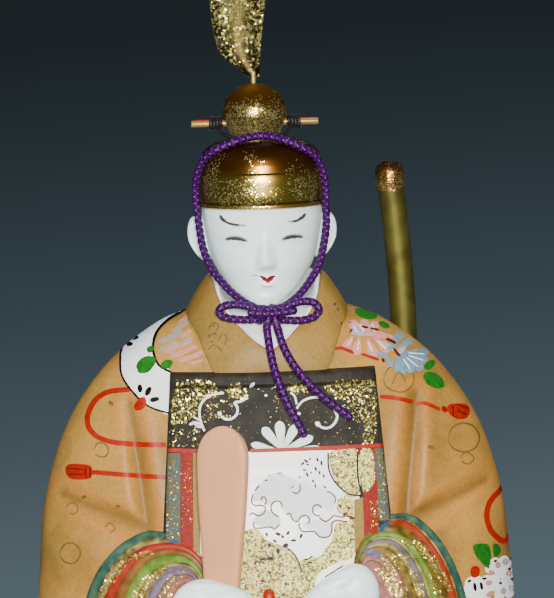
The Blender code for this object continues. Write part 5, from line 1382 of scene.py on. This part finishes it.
def brushStroke(pot, points, width, targets, height, taper, cast=castOn):
    # a ribbon of three points across, thinner at its ends
    line = splineRows(points, max(len(points) * 10, 12)) if len(points) > 2 else np.linspace(points[0], points[1], 12)
    reach = np.concatenate([[0], np.cumsum(np.linalg.norm(np.diff(line, axis=0), axis=1))])
    count = max(int(reach[-1] / min(max(width * 0.6, 0.8), 1.8)), 3)
    goals = np.linspace(0, reach[-1], count + 1)
    spots = np.stack([np.interp(goals, reach, line[:, k]) for k in (0, 1)], axis=1)
    way = np.gradient(spots, axis=0)
    way /= np.maximum(np.linalg.norm(way, axis=1), 1e-9)[:, None]
    side = np.stack([-way[:, 1], way[:, 0]], axis=1)
    t = np.linspace(0, 1, count + 1)
    half = width / 2 * np.minimum(1, np.minimum(taper[0] + t * 7, taper[1] + (1 - t) * 7))
    flat, faces = [], []
    for spot, across, h in zip(spots, side, half):
        flat += [tuple(spot - across * h), tuple(spot), tuple(spot + across * h)]
    for row in range(count):
        for column in (0, 1):
            a = row * 3 + column
            faces += [[a, a + 1, a + 4], [a, a + 4, a + 3]]
    laySkin(pot, flat, faces, targets, height, cast)


spindleProfiles = {
    "petals": ((0.0, 0.20), (0.25, 0.52), (0.6, 0.92), (0.8, 1.0), (0.93, 0.72), (1.0, 0.12)),
    "leaves": ((0.0, 0.30), (0.15, 0.72), (0.4, 1.0), (0.7, 0.88), (0.9, 0.5), (1.0, 0.10)),
}


def spindle(pot, start, end, width, targets, height, profile, cast=castOn):
    start, end = np.array(start, float), np.array(end, float)
    way = end - start
    side = np.array((-way[1], way[0])) / max(np.linalg.norm(way), 1e-9)
    table = splineRows(profile, 12)
    left = [start + way * t + side * width / 2 * max(w, 0.02) for t, w in table]
    right = [start + way * t - side * width / 2 * max(w, 0.02) for t, w in table[::-1]]
    fillShape(pot, left + right, targets, height, False, cast)


def dot(pot, middle, radiusX, radiusY, targets, height, turn, cast=castOn):
    angle = np.arange(14) * tau / 14
    x, y = radiusX * np.cos(angle), radiusY * np.sin(angle)
    c, s = math.cos(math.radians(turn)), math.sin(math.radians(turn))
    outline = np.stack([middle[0] + x * c - y * s, middle[1] + x * s + y * c], axis=1)
    fillShape(pot, outline, targets, height, False, cast, "dotCell")


def insideShape(outline, x, y):
    inside = False
    for (x1, y1), (x2, y2) in zip(outline, np.roll(outline, -1, axis=0)):
        if (y1 > y) != (y2 > y) and x < (x2 - x1) * (y - y1) / (y2 - y1) + x1:
            inside = not inside
    return inside


def sprinkleFlakes(pot, outline, count, size, targets, seed, cast=castOn):
    # gold leaf flakes: tiny four-sided chips, each tipped a little its own way
    s = paintSettings
    draw = random.Random(seed)
    outline = np.asarray(outline, float)
    low, high = outline.min(axis=0), outline.max(axis=0)
    store = paintPots.setdefault(pot, {"verts": [], "faces": []})
    made = 0
    for _ in range(count * 8):
        if made >= count:
            break
        x, y = draw.uniform(low[0], high[0]), draw.uniform(low[1], high[1])
        if not insideShape(outline, x, y):
            continue
        hit = cast(targets, x, y)
        if hit is None:
            continue
        made += 1
        normal = (hit[1] + Vector([draw.gauss(0, s["flakeTip"]) for _ in range(3)])).normalized()
        one = normal.orthogonal().normalized()
        one.rotate(Matrix.Rotation(draw.uniform(0, tau), 3, normal))
        two = normal.cross(one)
        reach = size * draw.uniform(*s["flakeSizes"]) * mm
        base = len(store["verts"])
        middle = hit[0] + hit[1] * s["flakeLift"] * mm
        for angle, stretch in s["flakeCorners"]:
            spot = middle + (one * math.cos(angle) + two * math.sin(angle)) * reach * stretch
            store["verts"].append(tuple(spot))
        store["verts"].append(tuple(hit[0] - hit[1] * s["flakeRoot"] * mm))
        store["faces"].append((base, base + 1, base + 2, base + 3))
        for k in range(4):
            store["faces"].append((base + (k + 1) % 4, base + k, base + 4))


def paintRows(rows, targets, cast=castOn):
    # a row ends at a semicolon: how it is laid, its paint and its height over the clay in mm, which for flakes is
    # their size, then its shapes in the photograph's pixels. A line starts with its width, flakes with their count
    for row in rows.split(";")[:-1]:
        head, _, shapes = row.partition(":")
        kind, pot, height = head.split()
        height = float(height)
        for seed, shape in enumerate(shapes.split("|")):
            spots = [[float(value) for value in spot.split(",")] for spot in shape.split()]
            if kind in ("fill", "flat"):
                fillShape(pot, spots, targets, height, kind == "fill", cast)
            elif kind in ("line", "hair"):
                ends = (0.85, 0.85) if kind == "line" else (0.25, 0.25)
                brushStroke(pot, spots[1:], spots[0][0], targets, height, ends, cast)
            elif kind == "dots":
                for x, y, long, thick, turn in spots:
                    dot(pot, (x, y), long, thick, targets, height, turn, cast)
            elif kind == "flakes":
                sprinkleFlakes(pot, spots[1:], int(spots[0][0]), height, targets, seed + int(spots[1][0]), cast)
            else:
                for start, (x, y, width) in zip(spots[::2], spots[1::2]):
                    spindle(pot, start, (x, y), width, targets, height, spindleProfiles[kind], cast)



# Face: brows, closed eyes with a painted highlight under each, lips with a painted highlight round them, and painted
# shade beside the nose and under the lips
# the white dots under the eyes and the white rim round the lips are painted highlights; the thin softGrey stroke under
# the lips is a painted shadow
faceRows = """
hair faceShade 0.02: 4.6 258.8,246 258.2,256 257.6,262 259.8,267 265.4,268.8 | 5 272.8,246 274,256 275.4,262 273.4,267
  268.6,268.8;
hair softGrey 0.05: 4.4 225,239.6 232,237.6 239,238 247.6,241.2 | 4.4 303.6,237 297,235.6 290,236.4 281.4,239.8 | 1.4
  262,285.6 267.6,286.8 273,285.4 | 1.4 252,275.2 257,275.6 261,276.4 | 2.6 226,222.6 234,225 240,225.4 247,225.6 |
  2.4 300,219.6 295.6,221.4 288,221.6;
hair greyLine 0.08: 2.2 220.8,215.4 223,219.6 227.4,222.6 234,224.4 240,224.9 | 2.2 305.2,213.8 302,217.6 296.4,220.6
  292,221.2 | 2.4 226,239.2 232,238.2 239,238.8 246.4,241 | 2.4 302.6,237 296,236.4 289,237.2 282.6,239.4;
hair greyLine 0.1: 3.4 230.6,238.6 236,238.4 242.6,239.6 | 3.4 285,238.6 291,236.8 297.6,236.6;
hair greyLine 0.09: 3.2 220.2,214.8 222.2,219 226.4,222 | 3.0 305.6,213.2 302.6,217 298,219.8;
dots pearl 0.09: 236,243,3.4,0.8,4 293,241,3.4,0.8,-4;
fill pearl 0.05: 256.6,275.4 262,274.6 267,276 271.6,274.6 278,275 276,280.4 271,285 267.4,285.8 263.4,285
  258.6,280.6;
fill lipRed 0.09: 261.2,277 264.4,278 267.2,278.2 270,277.2 273.8,276.8 272.2,280.2 269.6,282.6 266.8,283 263.6,280.8;
hair darkRed 0.13: 1.9 259.8,276.4 263,277 266.6,278.8 | 1.9 275.6,276.2 271,276.8 267.6,278.8;
"""
paintRows(faceRows, [headTree])

# Ghosts of old flowers on the lapels
lapelRows = """
hair ghostOlive 0.12: 1.3 208.6,328 214,322.8 218.6,326 216,331 | 1.3 208,338 213,333.6 218,336 | 1.3 218,341
  222.6,334.4 226.6,337 224.4,345.6 | 1.2 208,350 213,345 219,348 222,352;
dots tanStrip 0.12: 213,325.4,2.6,1.1,60 209.6,334.6,2.2,1.1,70 215.6,334,2.4,0.9,80 212,341.6,2.2,1,20
  222.6,337,3.4,1.4,-70 211.4,352,2.2,1,30 336,303.4,1.8,1.6,0 341,323,1.6,1,30;
dots greyLine 0.14: 213.4,326,0.9,0.8,0 209.4,335.4,1.2,0.9,50 215.4,333,1.1,0.7,80 211.8,342,1,0.8,0
  334.6,304,1.3,1,0 337.8,309.4,1.1,1,0 341,323,1.3,0.9,30 350,323,1.2,0.8,0;
"""
paintRows(lapelRows, [treeOf(ochreCollar), robeTree])

# Chest panel: dull black field with gold leaf, white scrolls and half flower, then the brocade below the red line
panelRows = """
flakes goldFlakes 0.42: 430 178,382 193,379 207,380 217.6,386 216,397 206.8,400.6 201.7,405 196,414 184.4,424
  171.6,424 171.6,404 | 120 226,390 232,384 239,383 245,389 250,397 241,400 229,398 | 80 288,386 296,382 307,385
  309,392 296,394 287,391 | 520 322,386 339.4,379 356.6,380.5 374.6,379 376.6,406 376,430 372,446 362.6,445 363.5,424
  356.6,407 342.9,402 330.8,396;
flakes goldFlakes 0.34: 70 205,402 218,398 232,404 234,418 218,420 203,422 | 60 170,430 200,427 198,446 169,448 | 26
  250,382 282,384 300,410 262,400 | 50 342,404 362,408 360,424 340,412;
flakes goldFlakes 0.22: 160 176,380 376,379 380,444 170,448;
dots scrollWhite 0.2: 219.6,413.6,2.4,2,40 317.6,424,3,2.3,40 252,385,3,1.5,-35 266,395.4,1.6,1.3,0 276,386.6,2,1,-30
  299,413.6,1.8,1.4,0 192,423.6,2.8,1.3,-20;
line scrollWhite 0.2: 2.2 204.6,431 201.6,424 199.6,415 200.6,405.4 205.6,398.6 213,394.6 224,393 | 2.4 248,397.6
  240,401.6 234.6,402.6 237.4,407.6 236.8,414 232,418.6 226,419.2 221,416 | 2.2 296.6,408.6 301.6,402 308.6,398.4
  317,397.2 325,399.6 | 2.4 334,409.6 337.2,416 334.4,423.4 328.6,427.8 322,427.4 318,424 | 2 290.4,392.4 294.6,396.4
  296.6,404 | 1.8 200.6,420.6 193.6,417;
hair scrollWhite 0.2: 2.2 203,426 196,422.4 189.6,425 | 2.2 204,426 198,426.6 193,421;
petals paleBlue 0.18: 282,452 251,444,7.2 282,450 262.6,427.6,9.4 281.8,450 279.4,421,10 283,450 296.4,424.6,9.2
  284,450 312.8,436.8,8.8 286,451 320,447,4.8;
line red 0.24: 3.9 250,450.8 317,448.4 384,445.2 | 3.9 168,450 180,450.4 198,451;
flat pearl 0.1: 196,453 357.8,449.6 363,606 196,608;
flat blueGrey 0.13: 168,453 180.6,453 180.6,556 177,588 165,588 166.6,500 | 374.3,448 384.4,447.4 386.8,491
  389.8,520.3 378.9,520.6 376.8,491;
flat panelRed 0.13: 180.9,450.6 192.2,451 193,520 193.4,588 181.2,588 | 358.6,449 374.2,448.2 377.6,491 378.4,543.4
  368,551 364.4,551 363.2,494;
flat cornerBlue 0.16: 166,541 178,540 178.6,557 172,559 165,552 162.6,546 | 380,526 389.8,520.4 393,530 391,538
  384,541.6 379.6,537;
flat tanStrip 0.13: 192.8,451.4 199.5,451.6 200.5,588 193.8,588 | 354,500 363,497 364.6,549 353.6,553;
fill paleBlue 0.14: 252,500 256,489 264,480 272,474 281,472.4 290,478 299,482 307,480 314,486 323,488 331,493.6
  335,503 331,511 322,508 313,512 311,519 304,515 298,520 291,518 285,513 278,502 270,506 262,502 | 254,523 257,514
  266,510 276,514 281,521 275,528 264,527 | 303,524 312,520 324,520 331,526 328,536 318,536 312,531;
fill goldPowder 0.14: 330,453 357,450 360,494 353,500 354,553 338,562 322,571 306,580 300,572 314,562 324,551 332,540
  336,524 350,520 338,512 338,500 346,494 336,482 331,468 | 243,534 258,530 266,540 280,545 290,549 298,560 302,575
  300,608 246,608 240,575 | 299,563 309,558 318,557 322,566 316,580 312,608 299,608 301,578 | 360,452 372,450 375,478
  372,486 363,491;
flakes goldFlakes 0.4: 900 330,453 357,450 360,494 353,500 354,553 338,562 322,571 306,580 300,572 314,562 324,551
  332,540 336,524 350,520 338,512 338,500 346,494 336,482 331,468 | 420 243,534 258,530 266,540 280,545 290,549
  298,560 302,575 300,608 246,608 240,575 | 90 360,452 372,450 375,478 372,486 363,491;
flakes goldFlakes 0.34: 190 168,460 180,460 180,556 166,570 | 90 181.6,462 191.6,462 192.6,520 182,530 | 50 370,500
  378,500 378.6,520 370,516 | 150 376,452 385,452 389,520 379,520 | 26 372,520 379,520 378,532 370,528;
dots darkRed 0.18: 345,514,3,1.6,-30 352,518,3,1.4,10 340,506,2.4,1.4,50 349,508,2,1.2,0;
line darkRed 0.22: 1.4 252.6,494 251.6,502 255.6,505.6 260.4,505.2 265.4,507.6 263.4,513.6 258,515.6 252.6,513
  249,515.4 | 1.4 262,500 261.6,497.6 264.6,497 266.4,501 264.6,505.2 | 1.4 278.6,517 272.6,512.6 271,507 273,502.6
  278,501 281.8,504 281.6,507.6 | 1.4 286.4,514.4 290.4,513.6 292.4,519.4 297,521.6 301,517 305.6,515.4 309.4,519
  308.4,523.6 | 1.4 299.4,523 299.4,527.4 303.6,531.6 314,531.6 319.4,536.6 326,537.2 330.4,534.6 331.8,528 332,523
  337.4,520.4 347,522 | 1.4 299.8,484 300,490 296.4,493.4 292.4,491.6 | 1.2 291,488.4 293.6,485.6 | 1.4 321.6,507.6
  317.6,504.6 313.4,506.6 313,512.6 316.4,515.6 320,515.6 | 1.4 319,517.4 325.6,521.4 331,518 334,515.6 342,517
  350,516.2 353.4,518.6 | 1.3 327,491.4 332,493.6 335.4,498.6 334.6,503 | 1.4 254,521.6 254.4,527.6 261,528 271,527
  274,529.4 279.6,524.6;
hair greyLine 0.22: 1.6 323,485.6 326.4,488.4 | 1.6 254.6,491 259.4,485 | 1.8 264,480.6 267.8,480 | 1.6 268.4,474.6
  270,475.6 | 1.2 277,473.2 281.6,473 | 1.2 295,479.4 296,480.6 | 2.2 298.6,477.4 300.6,477 | 1.6 314.8,483 315.6,488;
line black 0.26: 1.6 328,452.6 328.6,468 333,479 340.6,488.2 349.8,494.3 363,495.6 | 1.6 357.4,452 357.8,476 360.6,491
  | 1.4 287,548 294,554 298.6,561.6 301.4,572 | 1.3 325,577 334,571.4 343,565.6;
dots black 0.26: 302.6,463.6,2.4,1,-40 306,461,2.6,1.2,35 310,459,1.6,0.9,-20 307.6,464.6,1.4,0.9,40
  317.4,459.6,2,1.1,70 321.4,462.8,2.6,1.1,85 315.6,468.8,2.1,1.2,70 319.4,472.6,2,1,75 323.6,476,1.8,1,75
  304.6,470,2,0.9,10 307.2,474.6,2.6,1.1,60 311,472.6,1.4,0.8,-40 313,481,1.8,1,60 266.6,534.4,2,1.3,60
  278,534,3,1.6,20 282.6,536.6,2,1.3,50 288,533,2.4,1.4,-50 301,536,2.6,1.4,-60 293.4,540.4,2.8,1.3,0
  274.8,541,2.2,1.1,40 269.6,545,2.4,1.4,40 285.6,545.4,3,2.2,-30 278,551,2.8,1.7,80 256,562,2.6,1,-30
  262.4,559,2.6,1,-10 270.4,558.6,3.6,1.7,0 306,559.4,3,0.9,-10 310.6,557.4,2.4,0.9,-40 310,562.6,2.8,0.9,10
  263,581,2.6,1,20 269.6,573,2.4,1,80 285.6,584,1.8,1,60 258,570.6,2,0.8,40;
"""
paintRows(panelRows, [panelTree])
print("face, collar and panel painted")

# Robe, left in the picture: white band with seeds, bud and leaves, streaks, and the red cord; ghosts of old flowers
leftRows = """
fill white 0.15: 186,306 180.5,312.5 168.5,320 158.2,331 153.6,343 153.8,353.7 159.3,365.6 171.2,373 170.6,411.6
  160,411.5 146.3,405 137.6,397.4 126.7,384.4 121.3,372 120.8,356 122.6,345 128,334 146,318 168,306;
hair streakBlue 0.09: 4 172,332 182,326 189,321 | 5 158,342 172,337 182,331 | 3.4 158,352 170,345 178,342 | 3 176,348
  184,342 192,338 | 3 168,354 176,350;
hair streakPink 0.08: 4 178,324 188,316 | 4 180,338 192,330 | 5 162,352 178,346 192,341 | 5 170,357 184,352 197,346 |
  5 178,361 192,357 203,352 | 3 190,364 203,360;
line black 0.24: 1.9 122.4,347 120.8,356 121.3,372 126.7,384 137.6,397 146.4,404.7 156,409.4 170.8,413.6 | 2.2
  186,308.4 180,312.6 168,320 157.6,331 153.4,343 153.8,353.7 159.3,365.6 171.4,372.4;
leaves leafGreen 0.28: 137.4,369 156,358.6,13.6 138,371.6 152,368,7 161.4,367 172.6,361.6,8.4;
fill leafGreen 0.28: 147,349 150.6,346.4 154,347 153.4,351 149,353;
fill red 0.3: 134.8,405.6 139.6,398.4 145,397.6 146.4,403.4 142.6,408.6 137,410.4;
dots black 0.3: 140.2,388.6,4,2.4,88 148.4,391.4,5,2.6,-60 154.6,399.6,5,2.4,-12 130,344.4,3.2,2,-10
  136,338.4,3.6,1.3,-25;
line red 0.16: 5 130,389.5 109.4,391.7 96.4,399.3 88.8,412.3 87.7,423 92,432 100.7,438.3 116,442.6 140,444.4 166,444.8
  | 4.6 95,472.2 118,474.2 140,475.8 166.6,477.3 | 4.4 88,472 96,472.6;
fill red 0.2: 91,466.4 79,464 68,465 66,471.6 70,478 80,479.6 91,477.6;
hair darkRed 0.26: 1.1 90.4,467 90.6,477.4 | 1.1 86,466.2 86.4,478.6 | 1.1 85,469.6 68,468.4 | 1.1 85,474 68.4,474.6;
hair ghostOlive 0.06: 1.4 94,450 97,444 103,443 108,448 107,455 101,457 95,454 | 1.5 60,553 64,545 72,543 79,548
  80,556 74,563 65,562 60,555 | 1.3 66,508 70,503 76,504 78,510 74,514 68,513 | 1.2 104,528 110,523 115,529 109,533;
dots ghostOlive 0.06: 111,403,3,1.8,40 431,447,3.4,2,20 84,497,2.6,1.6,-30 118,506,2.2,1.4,10;
"""
paintRows(leftRows, [robeTree], castWrap)

# Robe, right in the picture: chrysanthemums, leaves, red cord, and the low flower
rightRows = """
petals petalPink 0.12: 364,336 350,321,9 370,335 362,320,9.4 378,335 372,321.6,9.4 352,336 345,350,9 359,337
  355.6,355,9.4 367,338 375,358,9.4 374,337 389,352,9 396,338 371,333.6,7.4;
petals lilac 0.14: 371,330 352,324.6,4.6 372,335.6 350,332,5 407,345 398,353,6 396,352 382,342,5;
petals petalBlue 0.15: 391,344 402,333.6,8 399,347 412,340,7 398,344 388,348.6,5 404,352 428,353,8 404,353
  428,361.6,8.4 403,354 422.6,370,8.6 401,355 412.6,373,8 399,355 404,374,7 396,355 398.4,372,6.4 376,352 387,357.4,5
  384,356 392.6,366.6,5.6;
hair white 0.2: 0.9 408,353 424,354.4 | 0.9 408,355.6 423,360.6 | 0.9 406,357.6 418,367 | 0.9 403,359 410,369.6 | 0.9
  352,339 347.4,346 | 0.9 359,341 357,351 | 0.9 368,342 372.6,352.6 | 0.9 377,341 386,349 | 0.9 364,332 359,324.4 |
  0.9 374,331 372,324 | 0.9 358,333 352.6,326;
hair darkRed 0.24: 2 361,326.6 368.4,328 | 2 370,328.4 379,330.4 | 2.4 386,338.4 396,343.6 | 2.2 393,348.6 400,356.4 |
  2.4 382,358 384,362.6 | 1.8 352,329 350,333;
hair red 0.22: 2.8 334,349 341,348 347,350 354,353.4 | 2.4 361,354 371,357 379,360;
leaves leafGreen 0.2: 355,310.6 377,317,10.4 379,322.4 389.4,327.4,5.6 424.6,368.6 434.4,361,8 424,374
  443.6,386.6,13.6;
hair ghostOlive 0.08: 1.4 384,378 388,369 397,365 407,367 413.6,375 412,385 404,391.6 394,391 386,386 383.6,379 | 1.6
  448,438 452,428 462,423 473,426 479,436 476,447 465,452 453,448 448,439 | 1.2 392,384 399,372 406,383 | 1.2 460,458
  466,452 474,458 468,464 461,461;
line red 0.16: 4 380,396.5 395,398 405,400 413,402 | 3.5 416,404.5 423,403 430,405 440,409.5 | 5.2 500,490 491,500
  487,510 487,520 491,531 498,538 503,541 508,538 512,530;
line darkRed 0.16: 4.6 504,484 500,490;
dots red 0.2: 444.6,409.4,3.4,3,20;
fill red 0.2: 448,405.6 456,403.6 466,404.6 469.4,410.6 466.6,417.6 458,419 449.6,414 | 470.6,569 476,565.8
  479.4,569.6 477.6,576.4 472,577;
hair darkRed 0.26: 1.1 452.4,405 453,416.6 | 1.1 457,404.6 468,409 | 1.1 457,411 466.8,415 | 1.6 442.4,406.4
  445.4,411.4;
fill leafGreen 0.2: 473,546 480,543.4 488,545 490.6,553 489.6,562 488,568.4 482,563 476,556 | 493,544 498,545
  500.4,550 497,556.6 493.4,555;
fill white 0.1: 465,583 470,577 480,576.6 488,581 490,592 488,602 465,602;
petals white 0.13: 500,578 486,566,9 500,578 494,557.6,9.4 500,578 505,555.6,9.4 501,578 516,561,9.4 501,579 519,572,9
  501,580 518.6,586,9 500,581 511.6,597,9.4 500,580 499,601,9.4 499,579 486,594,9.4 499,578 482.6,580,9;
dots petalPink 0.16: 497.6,565,2.8,3.2,0 491.4,572.6,3.4,2.4,20 488.6,583,3.4,2.6,-20 490,594,4.4,2.8,-30
  509,573.6,3.4,2.8,0 511,588,3,2.6,40;
dots lilac 0.15: 505,562,3,3.4,0 513,566,2.6,3,40 503,591,2.8,3.6,0 514,580,2.6,2,0;
dots black 0.24: 509,569,1.5,1.3,0 512,579,1.6,1.3,0 495,561,1.7,1.2,-30 513,559,2.3,1.2,-40 469,581,1.8,1.3,-30
  484,578.6,2.4,1.2,-10 474.6,587,4.2,1.5,80 481,586,4,1.4,80 500,583,1.4,1.2,0;
"""
paintRows(rightRows, [robeTree], castWrap)
print("robe painted")

# Sleeves: gold leaf between the layers, and the corners where they meet the panel
sleeveRows = """
flakes goldFlakes 0.36: 260 97,598 105,598 114,583 122,571 128,563 122,561 112,572 102,585 | 110 120,562 128,556
  146,551 160,553 146,556 128,563 | 260 130,598 142,598 151,585 163,573 172,567 160,567 146,576 136,586 | 90 156,598
  168,576 186,568 172,598 | 360 400,541 410,538 425,545 437,560 447,578 453,592 448,592 437,577 424,558 412,547 | 560
  374,556 390,554 414,556 402,563 396,575 408,590 406,598 392,598 385,585 376,572 | 130 408,566 420,576 428,598
  420,598 412,584 | 120 428,572 436,584 444,598 436,598;
flat greyPurple 0.14: 362,550 372,547 385,556.6 376,559 368,556 | 166,569 178,565 190,567 184,571 172,573 164,576;
"""
paintRows(sleeveRows, [*sleeveTrees, panelTree, robeTree])

# Hands: faint strokes of painted shade along their backs
handRows = """
hair faceShade 0.04: 1.3 306,584 318,576 334,570 346,566 | 1.3 312,591 326,583 340,578 352,577 | 1.3 318,597 332,590
  346,587 | 1.3 196,584 212,583 228,588 | 1.3 192,591 208,590 224,594;
"""
paintRows(handRows, handTrees)


def roundFlower(x, z, reach, width, count, start=0.25):
    # petals all round a middle, each grown outward from near it
    spots = []
    for step in range(count):
        across, up = math.cos(start + step * tau / count), math.sin(start + step * tau / count)
        spots.append(f"{x + 0.2 * reach * across:.2f},{z + 0.2 * reach * up:.2f} "
                     f"{x + reach * across:.2f},{z + reach * up:.2f},{width}")
    return " ".join(spots)


# The back: a red cord, two chrysanthemums with leaves and a plum spray, guessed from the front, in mm
backRows = f"""
line red 0.16: 1.5 -52,58 -40,66 -22,62 -8,52 6,48 18,54 26,66 34,76 46,78;
petals petalPink 0.2: {roundFlower(24, 84, 13, 5.6, 12)};
petals petalBlue 0.26: {roundFlower(6, 74, 10, 4.4, 12)};
petals white 0.2: {roundFlower(-28, 40, 9, 6.0, 6)} {roundFlower(-38, 32, 7, 5.0, 6, 0.8)};
dots petalPink 0.28: -28,40,2,2,0 -38,32,1.6,1.6,0 -33,47,1.6,1.2,0;
dots tanStrip 0.32: 24,84,2.2,2.2,0 6,74,1.8,1.8,0;
leaves leafGreen 0.24: 36,78 44,70,5 14,92 6,96,5 -2,66 -8,60,4.4 -20,34 -12,30,4.6 -42,40 -46,48,4.4;
"""
paintRows(backRows, [robeTree], castBack)

# gold powder on wet glue over chalk: pale yellow, freckled where the ground shows
goldPowder = makeMaterial("goldPowderOnGlue", {"Roughness": 0.6, "Base Color": "colour", "Normal": "bump"}, {
    "cells": ("TexVoronoi", {"Scale": 1900}),
    "grey": ("RGBToBW", {0: "cells Color"}),
    "patches": ("TexNoise", {"Scale": 260, "Detail": 3}),
    "blend": ("Math", {"operation": "MULTIPLY_ADD", 0: "patches", 1: 0.7, 2: "grey"}),
    "colour": ("ValToRGB", {"Fac": "blend", "stops": "0.48 #322C0E 0.68 #80742E 0.86 #CCBE5C 1 #F0E692"}),
    "bump": ("Bump", {"Height": "blend", "Distance": 0.0002, "Strength": 0.6})})
# cut gold leaf: thin bright chips, a little dull
goldLeaf = makeMottled("cutGoldLeaf", {"Metallic": 0.75, "Roughness": 0.36}, {"Scale": 800, "Detail": 2},
                       "0.40 #968430 0.60 #E6D87E")
potSlots = {
    "white_gofun_clay": "lipRed greyLine softGrey faceShade",
    "painted_panel_clay": "panelRed goldPowder pearl blueGrey scrollWhite tanStrip cornerBlue paleBlue",
}


def bottlePaint():
    # each pot's skins become one piece
    for pot, store in paintPots.items():
        paint = {"goldPowder": goldPowder, "goldFlakes": goldLeaf}.get(pot) or makePaint(
            pot + "MineralPaint", *robePaints[pot].split(), 0.5, 700.0, 0.00006, 0.6 if pot == "pearl" else 0.02)
        mesh = bpy.data.meshes.new(pot + "Painting")
        mesh.from_pydata(store["verts"], [], store["faces"])
        mesh.update()
        piece = bpy.data.objects.new(pot + "Painting", mesh)
        bpy.context.scene.collection.objects.link(piece)
        chosen = [slot for slot, pots in potSlots.items() if pot in pots.split()]
        finishPiece(piece, paint, "doll", (chosen or ["ochre_lacquered_clay"])[0])
        print(pot, len(store["faces"]), "faces")


bottlePaint()
